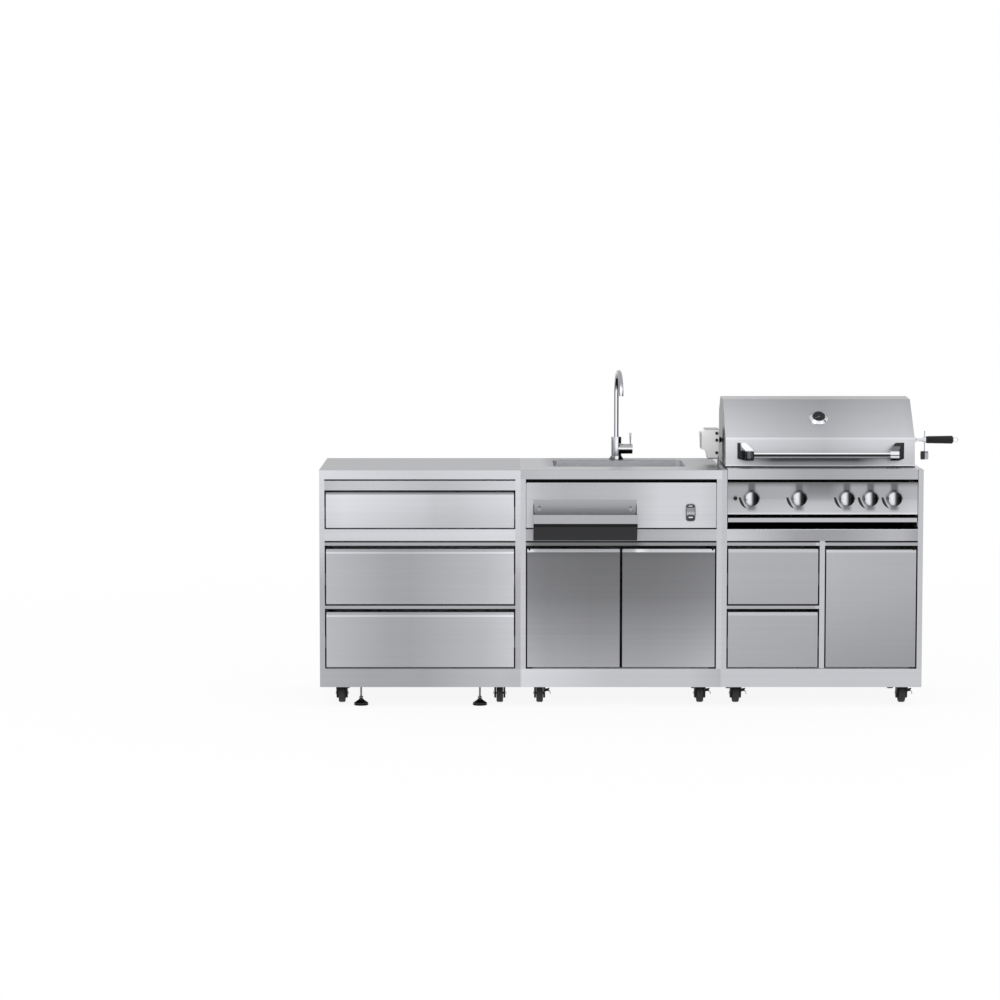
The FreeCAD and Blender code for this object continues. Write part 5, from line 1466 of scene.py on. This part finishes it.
@dataclass
class Hood:
    """The hood with its handle and thermometer."""

    left_end: Span = (1600.0, 1646.6)
    gauge: Point = (2032.5, 201.0, 1158.5)
    lean: Point = (0.0, -0.6533, 0.7571)
    dial_radius: float = 27.0
    dial_height: float = 9.0
    dial_play: float = 0.4
    ticks: int = 25
    ticks_per_long: int = 4
    tick_outer: float = 2.0
    tick_inner: Span = (4.5, 7.0)
    tick_half: Span = (0.3, 0.5)
    mark_height: float = 0.6
    sweep: float = 270.0
    needle_from_end: float = 12.0
    needle_tail: float = 6.0
    needle_short: float = 8.0
    needle_half: float = 0.8
    needle_height: float = 1.2
    bar_thick: float = 0.3
    hub_radius: float = 2.4
    hub_height: Span = (1.6, 2.0)

    def build(self) -> None:
        """Dresses the hood and its fittings."""
        self.shell()
        self.handle()
        # Painted reflections on the gauge's rim: dark edges, white low down, greyer above.
        shares = ((0, 80), (0.07, 95), (0.13, 235), (0.3, 250), (0.45, 210), (0.75, 195),
                  (0.92, 180), (1, 110))
        rim = upward(*spread(reach("thermometer", Axis.Z), shares))
        dress("thermometer", PolishedMetal("Gauge chrome", Paint(rim)))
        self.dial()

    def shell(self) -> None:
        """Dresses the hood: lighter towards its crease, with the bar's dark reflection."""
        # Painted shadow along the foot under a painted highlight, a painted highlight on the
        # crease,
        # a darker painted crown, the bar's painted reflection, painted shade on the left end
        # and the motor's painted shadow on it; the factor across is drifting painted light.
        tone = upward((968, 30), (970.2, 30), (971, 250), (974, 245), (976, 213), (1006, 210),
                      (1077, 226), (1080, 240), (1083, 238), (1087, 209), (1228, 182),
                      (1230, 168), (1240, 160))
        cross = across((1645, 255), (1886, 230), (2050, 219), (2214, 236), (2379, 245),
                       (2415, 240))
        mirrored = upward((971, 205), (974, 152), (986, 124), (993, 80), (1001, 72), (1006, 84),
                          (1012, 130))
        crown = across((1645, 164), (1900, 146), (2040, 140), (2379, 157), (2415, 150))
        patches = (Patch(mirrored, x=(1760, 2260), y=(80, 200), z=(970.6, 1012),
                         soft=(160.0, 1.0, 6.0)),
                   Patch(138, x=self.left_end, soft=(0.6, 1.0, 1.0)),
                   Patch(14, x=self.left_end, y=(372, 412), z=(1040, 1086),
                         soft=(0.6, 60.0, 50.0)),
                   Patch(crown, y=(200, 420), z=(1231.5, 1245)),
                   Patch(crown, x=(1648, 2412), y=(371, 420), soft=(0.6, 1.0, 1.0)))
        dress("hood", BrushedSteel("Hood steel", Paint(tone, cross, patches), 0.32,
                                   (1.2, 20.0, 110.0), 0.09))

    def handle(self) -> None:
        """Dresses the handle: bar white above and black below, its arms mostly dark."""
        # Painted reflections: the bar white above and black below, the arms dark with
        # painted highlights on top of them and round the sockets.
        bar = upward((1005, 255), (1009, 250), (1014, 62), (1018, 45), (1022.4, 42),
                     (1023.6, 250), (1027, 252), (1028.6, 200))
        left = across((1722, 20), (1726, 30), (1729, 80), (1738, 110), (1745, 70), (1752, 55),
                      (1757, 25))
        right = upward((996, 40), (1006, 45), (1009, 215), (1016, 225), (1018.3, 35), (1020, 40),
                       (1021.5, 235), (1033, 240), (1036, 40), (1038, 60))
        patches = (Patch(46, x=(1680, 1721.5), z=(990, 1070)),
                   Patch(252, x=(1708, 1762), z=(1036, 1072), soft=(8.0, 1.0, 5.0)),
                   Patch(left, x=(1721.5, 1757.5), z=(990, 1035)),
                   Patch(70, x=(2349, 2380), z=(990, 1070)),
                   Patch(110, x=(2300, 2349), z=(1037, 1052)),
                   Patch(36, x=(2320, 2380), z=(1052, 1072)),
                   Patch(right, x=(2308, 2349), z=(990, 1037)))
        dress("hood_handle", PolishedMetal("Polished handle", Paint(bar, None, patches), 0.12))

    def dial(self) -> None:
        """The gauge's black face with its marks and needle."""
        centre, h, r = place(*self.gauge), self.dial_height, self.dial_radius
        top, rim = h + self.dial_play, r - self.dial_play
        face = Shape(centre, self.lean).lathe([(0, h), (rim, h), (rim, top), (0, top)], 40)
        face.finish("gauge_face", "hood", DIAL)
        marks = Shape(centre, self.lean)
        up = self.up_angle(marks)
        for i in range(self.ticks):
            turn = up + math.radians(self.sweep * (0.5 - i / (self.ticks - 1)))
            long = i % self.ticks_per_long == 0
            self.bar(marks, turn, (r - self.tick_inner[long], r - self.tick_outer),
                     self.tick_half[long], h + self.mark_height)
        marks.finish("gauge_marks", "hood", DIAL_MARKS)
        needle = Shape(centre, self.lean)
        turn = up + math.radians(self.sweep / 2 - self.needle_from_end)
        self.bar(needle, turn, (-self.needle_tail, r - self.needle_short), self.needle_half,
                 h + self.needle_height)
        hub, (edge, middle) = self.hub_radius, self.hub_height
        needle.lathe([(0, top), (hub, top), (hub, h + edge), (0, h + middle)], 16)
        needle.finish("gauge_needle", "hood", NEEDLE)

    @staticmethod
    def up_angle(shape: Shape) -> float:
        """The angle in the shape's XY plane that points up the hood's slope."""
        turn = shape.matrix.to_3x3().inverted() @ Vector((0, 0, 1))
        return math.atan2(turn.y, turn.x)

    def bar(self, shape: Shape, turn: float, ends: Span, half: float, top: float) -> None:
        """Adds a thin radial bar to a dial.

        Args:
            shape: The dial that takes it.
            turn: The angle it points to.
            ends: Radii where it starts and ends; below zero it passes the middle.
            half: Half its width.
            top: Height of its top.
        """
        out = Vector((math.cos(turn), math.sin(turn)))
        side = Vector((-out.y, out.x)) * half
        inner, outer = out * ends[0], out * ends[1]
        corners = [inner - side, outer - side, outer + side, inner + side]
        shape.plate([(c.x, c.y) for c in corners], top - self.bar_thick, top)


@dataclass
class Rotisserie:
    """The spit's motor, rod, counterweight and grip."""

    screw: Head = Head(6.5, 5.0, 3.0, 16)
    screw_x: float = 1619.5
    screw_z: tuple[float, ...] = (1094.0, 1066.0, 1014.0)
    screw_stand: float = 1.0
    motor_front_y: float = 248.0
    motor_drop: float = 75.0
    motor_rise: float = 47.0
    motor_end: float = 22.0
    axis_y: float = 300.0
    axis_z: float = 1064.0
    weight_x: float = 2479.0
    weight_drop: float = 64.5
    weight_radius: float = 17.5
    weight_length: float = 29.0
    sleeve_stand: float = 0.3
    first_rib_x: float = 2496.5
    rib_step: float = 11.0
    rib_count: int = 8
    grip_radius: float = 15.1
    rib_radius: float = 0.8

    def build(self) -> None:
        """Dresses the rotisserie and adds screws, the weight's sleeve and the grip's ribs."""
        self.motor()
        # The rod is painted dark as shade between the motor and the hood.
        tone = across((1560, 60), (1620, 25), (1644, 25), (1648, 215), (2900, 225))
        weight = Patch(175, x=(2460, 2500), z=(980, 1018))
        dress("spit_rod", PolishedMetal("Spit chrome", Paint(tone, None, (weight,)), 0.12))
        dress("spit_grip", SOFT_BLACK)
        self.motor_screws()
        self.weight_sleeve()
        sizes = {"Start": tuple(place(self.first_rib_x, self.axis_y, self.axis_z)),
                 "Step": (self.rib_step * MM, 0.0, 0.0), "Count": self.rib_count,
                 "Ring Radius": self.grip_radius * MM, "Rib Radius": self.rib_radius * MM}
        RINGS.make("grip_ribs", "spit", SOFT_BLACK, sizes)

    def motor(self) -> None:
        """Dresses the motor, whose rounded edges are painted grey as shade."""
        low, high = reach("rotisserie_motor", Axis.X)
        bottom, top = self.axis_z - self.motor_drop, self.axis_z + self.motor_rise
        # Painted shade on the left and top edges, a painted shadow line along the foot,
        # and grey below the housing.
        patches = (Patch(165, x=(low - 1, low + 3.5), soft=(3.0, 1.0, 1.0)),
                   Patch(170, z=(top - 2.5, top + 1), soft=(1.0, 1.0, 2.0)),
                   Patch(60, x=(low + self.motor_end, high), z=(bottom - 1, bottom + 4),
                         soft=(4.0, 1.0, 2.0)),
                   Patch(150, z=(900, bottom - 1)))
        plastic = MouldedPlastic("Pale motor plastic", Paint(250, None, patches), 0.4, 700.0,
                                 0.04, NEUTRAL, "motor_plastic")
        dress("rotisserie_motor", plastic)

    def motor_screws(self) -> None:
        """Black screws down the motor's front face."""
        front = self.motor_front_y - self.screw_stand
        points = [place(self.screw_x, front, z) for z in self.screw_z]
        self.screw.make("motor_screws", "island", BLACK, points, (0.0, -1.0, 0.0))

    def weight_sleeve(self) -> None:
        """The counterweight's black half."""
        half, stand = self.weight_length / 2, self.sleeve_stand
        start = place(self.weight_x - half, self.axis_y, self.axis_z - self.weight_drop)
        r = self.weight_radius + stand
        shape = Shape(start, (1.0, 0.0, 0.0))
        shape.lathe([(0, -stand), (r, -stand), (r, half), (0, half)])
        shape.finish("weight_sleeve", "spit", BLACK, True)


@dataclass
class Casters:
    """Casters, levelling feet and their fasteners."""

    count: int = 6
    foot_height: float = 26.5
    nut: Head = Head(5.5, 5.2, 3.0, 6)
    nut_sink: float = 0.5

    def build(self) -> None:
        """Dresses the casters and feet."""
        fork = CastSteel("Dark plated fork", Paint(44), 0.5, 90.0, 0.2, (0.98, 1.0, 1.02))
        for i in range(1, self.count + 1):
            dress(f"front_fork_{i}", fork)
            dress(f"front_wheel_{i}", RUBBER)
            self.axle_nuts(i)
        for name in ("drawer", "sink", "grill"):
            dress(f"rear_wheels_{name}", RUBBER)
        dress("caster_plates", CASTER)
        # Painted reflections: pale bands round the black levelling feet.
        foot = upward((0, 8), (4, 12), (7, 62), (11, 58), (14, 14), (20, 30), (26, 60))
        patches = (Patch(foot, z=(-1, self.foot_height)),)
        dress("levelling_feet", CastSteel("Levelling foot metal", Paint(125, None, patches), 0.35))

    def axle_nuts(self, number: int) -> None:
        """A hexagon nut and its partner at the ends of a front axle.

        Args:
            number: The caster's number from the left, from one.
        """
        low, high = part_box(f"front_fork_{number}")
        wheel = middle_of(f"front_wheel_{number}")
        for side, way, x in (("left", -1.0, low.x), ("right", 1.0, high.x)):
            points = [Vector((x - way * self.nut_sink * MM, wheel.y, wheel.z))]
            self.nut.make(f"axle_nut_{number}_{side}", f"front_fork_{number}", ZINC, points,
                          (way, 0.0, 0.0))


@dataclass
class Studio:
    """Floor, soft light and the camera at the photograph's place, in metres."""

    eye: Point = (-0.57895, -13.575, 2.002)
    pitch: float = 4.99
    lens: float = 119.1
    sensor: float = 36.0
    view_end: float = 200.0
    sky: float = 0.92
    floor_half: float = 60.0
    floor_level: float = 250.0
    floor_roughness: float = 0.9
    floor_glow: float = 0.9
    clear_from: float = 2.5
    clear_to: float = 7.0
    lamp_side: float = 4.0
    lamp_aim: Point = (0.0, 0.0, 0.6)
    lamps: tuple[tuple[str, Point, float], ...] = (
        ("Key lamp", (-4.5, -6.0, 5.0), 70.0),
        ("Fill lamp", (5.5, -5.0, 4.0), 42.0),
    )
    flags: tuple[tuple[str, Point, Span], ...] = (
        ("Right flag", (7.0, -4.5, 1.6), (5.0, 5.0)),
        ("Left flag", (-6.5, 2.5, 1.6), (2.2, 5.0)),
        ("Rear flag", (6.0, 3.0, 1.6), (2.2, 5.0)),
        ("Low flag", (-0.3, 9.0, 0.55), (1.0, 1.0)),
    )

    def build(self) -> None:
        """Sets up everything round the island."""
        self.floor()
        self.world()
        for name, where, power in self.lamps:
            self.lamp(name, where, power)
        for name, where, size in self.flags:
            self.flag(name, where, size)
        self.camera()

    @staticmethod
    def sheet(name: str, corners: Sequence[Vector], surface: Surface) -> bpy.types.Object:
        """Lays one flat sheet that isn't part of the island.

        Args:
            name: The sheet's name.
            corners: Its four corners in order, in metres.
            surface: Its material.

        Returns:
            The sheet.
        """
        data = bpy.data.meshes.new(name)
        data.from_pydata([tuple(corner) for corner in corners], [], [(0, 1, 2, 3)])
        data.materials.append(surface.material)
        return put(name, data)

    def floor(self) -> None:
        """A wide pale floor."""
        surface = Surface("Studio floor", {"Base Color": grey(self.floor_level, NEUTRAL),
                                           "Roughness": self.floor_roughness,
                                           "Specular IOR Level": 0.0})
        self.glow(surface)
        corners = [Vector((x, y, 0)) * self.floor_half
                   for x, y in ((-1, -1), (1, -1), (1, 1), (-1, 1))]
        self.sheet("Studio floor", corners, surface)

    def glow(self, surface: Surface) -> None:
        """Lets the floor run out into plain white where it is seen, with its shadow kept.

        Args:
            surface: The floor's material under construction.
        """
        path = surface.node("ShaderNodeLightPath", {})
        camera, glossy, through = (Signal(surface, path[f"Is {kind} Ray"])
                                   for kind in ("Camera", "Glossy", "Transmission"))
        length = surface.node("ShaderNodeVectorMath", {0: surface.where}, operation="LENGTH")
        limits = {0: length["Value"], 1: self.clear_from, 2: self.clear_to, 3: self.floor_glow,
                  4: 1.0}
        far = surface.node("ShaderNodeMapRange", limits, interpolation_type="SMOOTHSTEP")
        share = (camera + glossy + through) * Signal(surface, far[0])
        white = surface.node("ShaderNodeEmission", {"Strength": 1.0})
        mix = surface.node("ShaderNodeMixShader", {0: share, 1: surface.shader.outputs[0],
                                                   2: white[0]})
        surface.tree.links.new(mix[0], surface.first("OUTPUT_MATERIAL").inputs["Surface"])

    def flag(self, name: str, where: Point, size: Span) -> None:
        """Stands a black card beside the set, which only reflections show.

        Args:
            name: The card's name.
            where: Its middle.
            size: Its width and height.
        """
        middle, up = Vector(where), Vector((0, 0, size[1] / 2))
        right = Vector((-where[1], where[0], 0)).normalized() * size[0] / 2
        corners = [middle - right - up, middle + right - up, middle + right + up,
                   middle - right + up]
        black = Surface(name, {"Base Color": (0.0, 0.0, 0.0, 1.0), "Roughness": 1.0,
                               "Specular IOR Level": 0.0})
        card = self.sheet(name, corners, black)
        card.visible_camera = False
        card.visible_diffuse = False
        card.visible_shadow = False

    def world(self) -> None:
        """An even sky that is plain white to the camera and in reflections."""
        world = bpy.data.worlds.new("Studio sky")
        world.use_nodes = True
        world.node_tree.nodes.clear()
        tree = Tree(world.node_tree)
        path = tree.node("ShaderNodeLightPath", {})
        seen = path["Is Camera Ray"]
        for kind in ("Glossy", "Transmission"):
            inputs = {0: seen, 1: path[f"Is {kind} Ray"]}
            seen = tree.node("ShaderNodeMath", inputs, operation="MAXIMUM")[0]
        light, white = (
            tree.node("ShaderNodeBackground", {"Color": WHITE, "Strength": strength})[0]
            for strength in (self.sky, 1.0)
        )
        mix = tree.node("ShaderNodeMixShader", {0: seen, 1: light, 2: white})
        tree.node("ShaderNodeOutputWorld", {"Surface": mix[0]})
        bpy.context.scene.world = world

    def lamp(self, name: str, where: Point, power: float) -> None:
        """Adds a square soft lamp that points at the island.

        Args:
            name: The lamp's name.
            where: Its place.
            power: Its power, in watts.
        """
        data = bpy.data.lights.new(name, "AREA")
        data.size = self.lamp_side
        data.energy = power
        lamp = put(name, data)
        lamp.location = where
        aim = Vector(self.lamp_aim) - Vector(where)
        lamp.rotation_euler = aim.to_track_quat("-Z", "Y").to_euler()

    def camera(self) -> None:
        """Places the camera where the photograph was taken from."""
        data = bpy.data.cameras.new("Camera")
        data.lens = self.lens
        data.sensor_width = self.sensor
        data.clip_end = self.view_end
        camera = put("Camera", data)
        camera.location = self.eye
        camera.rotation_euler = (math.radians(90 - self.pitch), 0.0, 0.0)
        bpy.context.scene.camera = camera
        bpy.context.scene.view_settings.view_transform = "Standard"


def main() -> None:
    """Builds the island's parts in order."""
    logging.basicConfig(level=logging.INFO, format="%(message)s")
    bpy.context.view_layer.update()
    for part in (Cabinets(), SinkStation(), GrillFront(), Burners(), Hood(), Rotisserie(),
                 Casters()):
        part.build()
        log.info("built %s", type(part).__name__)
    Studio().build()


if __name__ == "__main__":
    main()
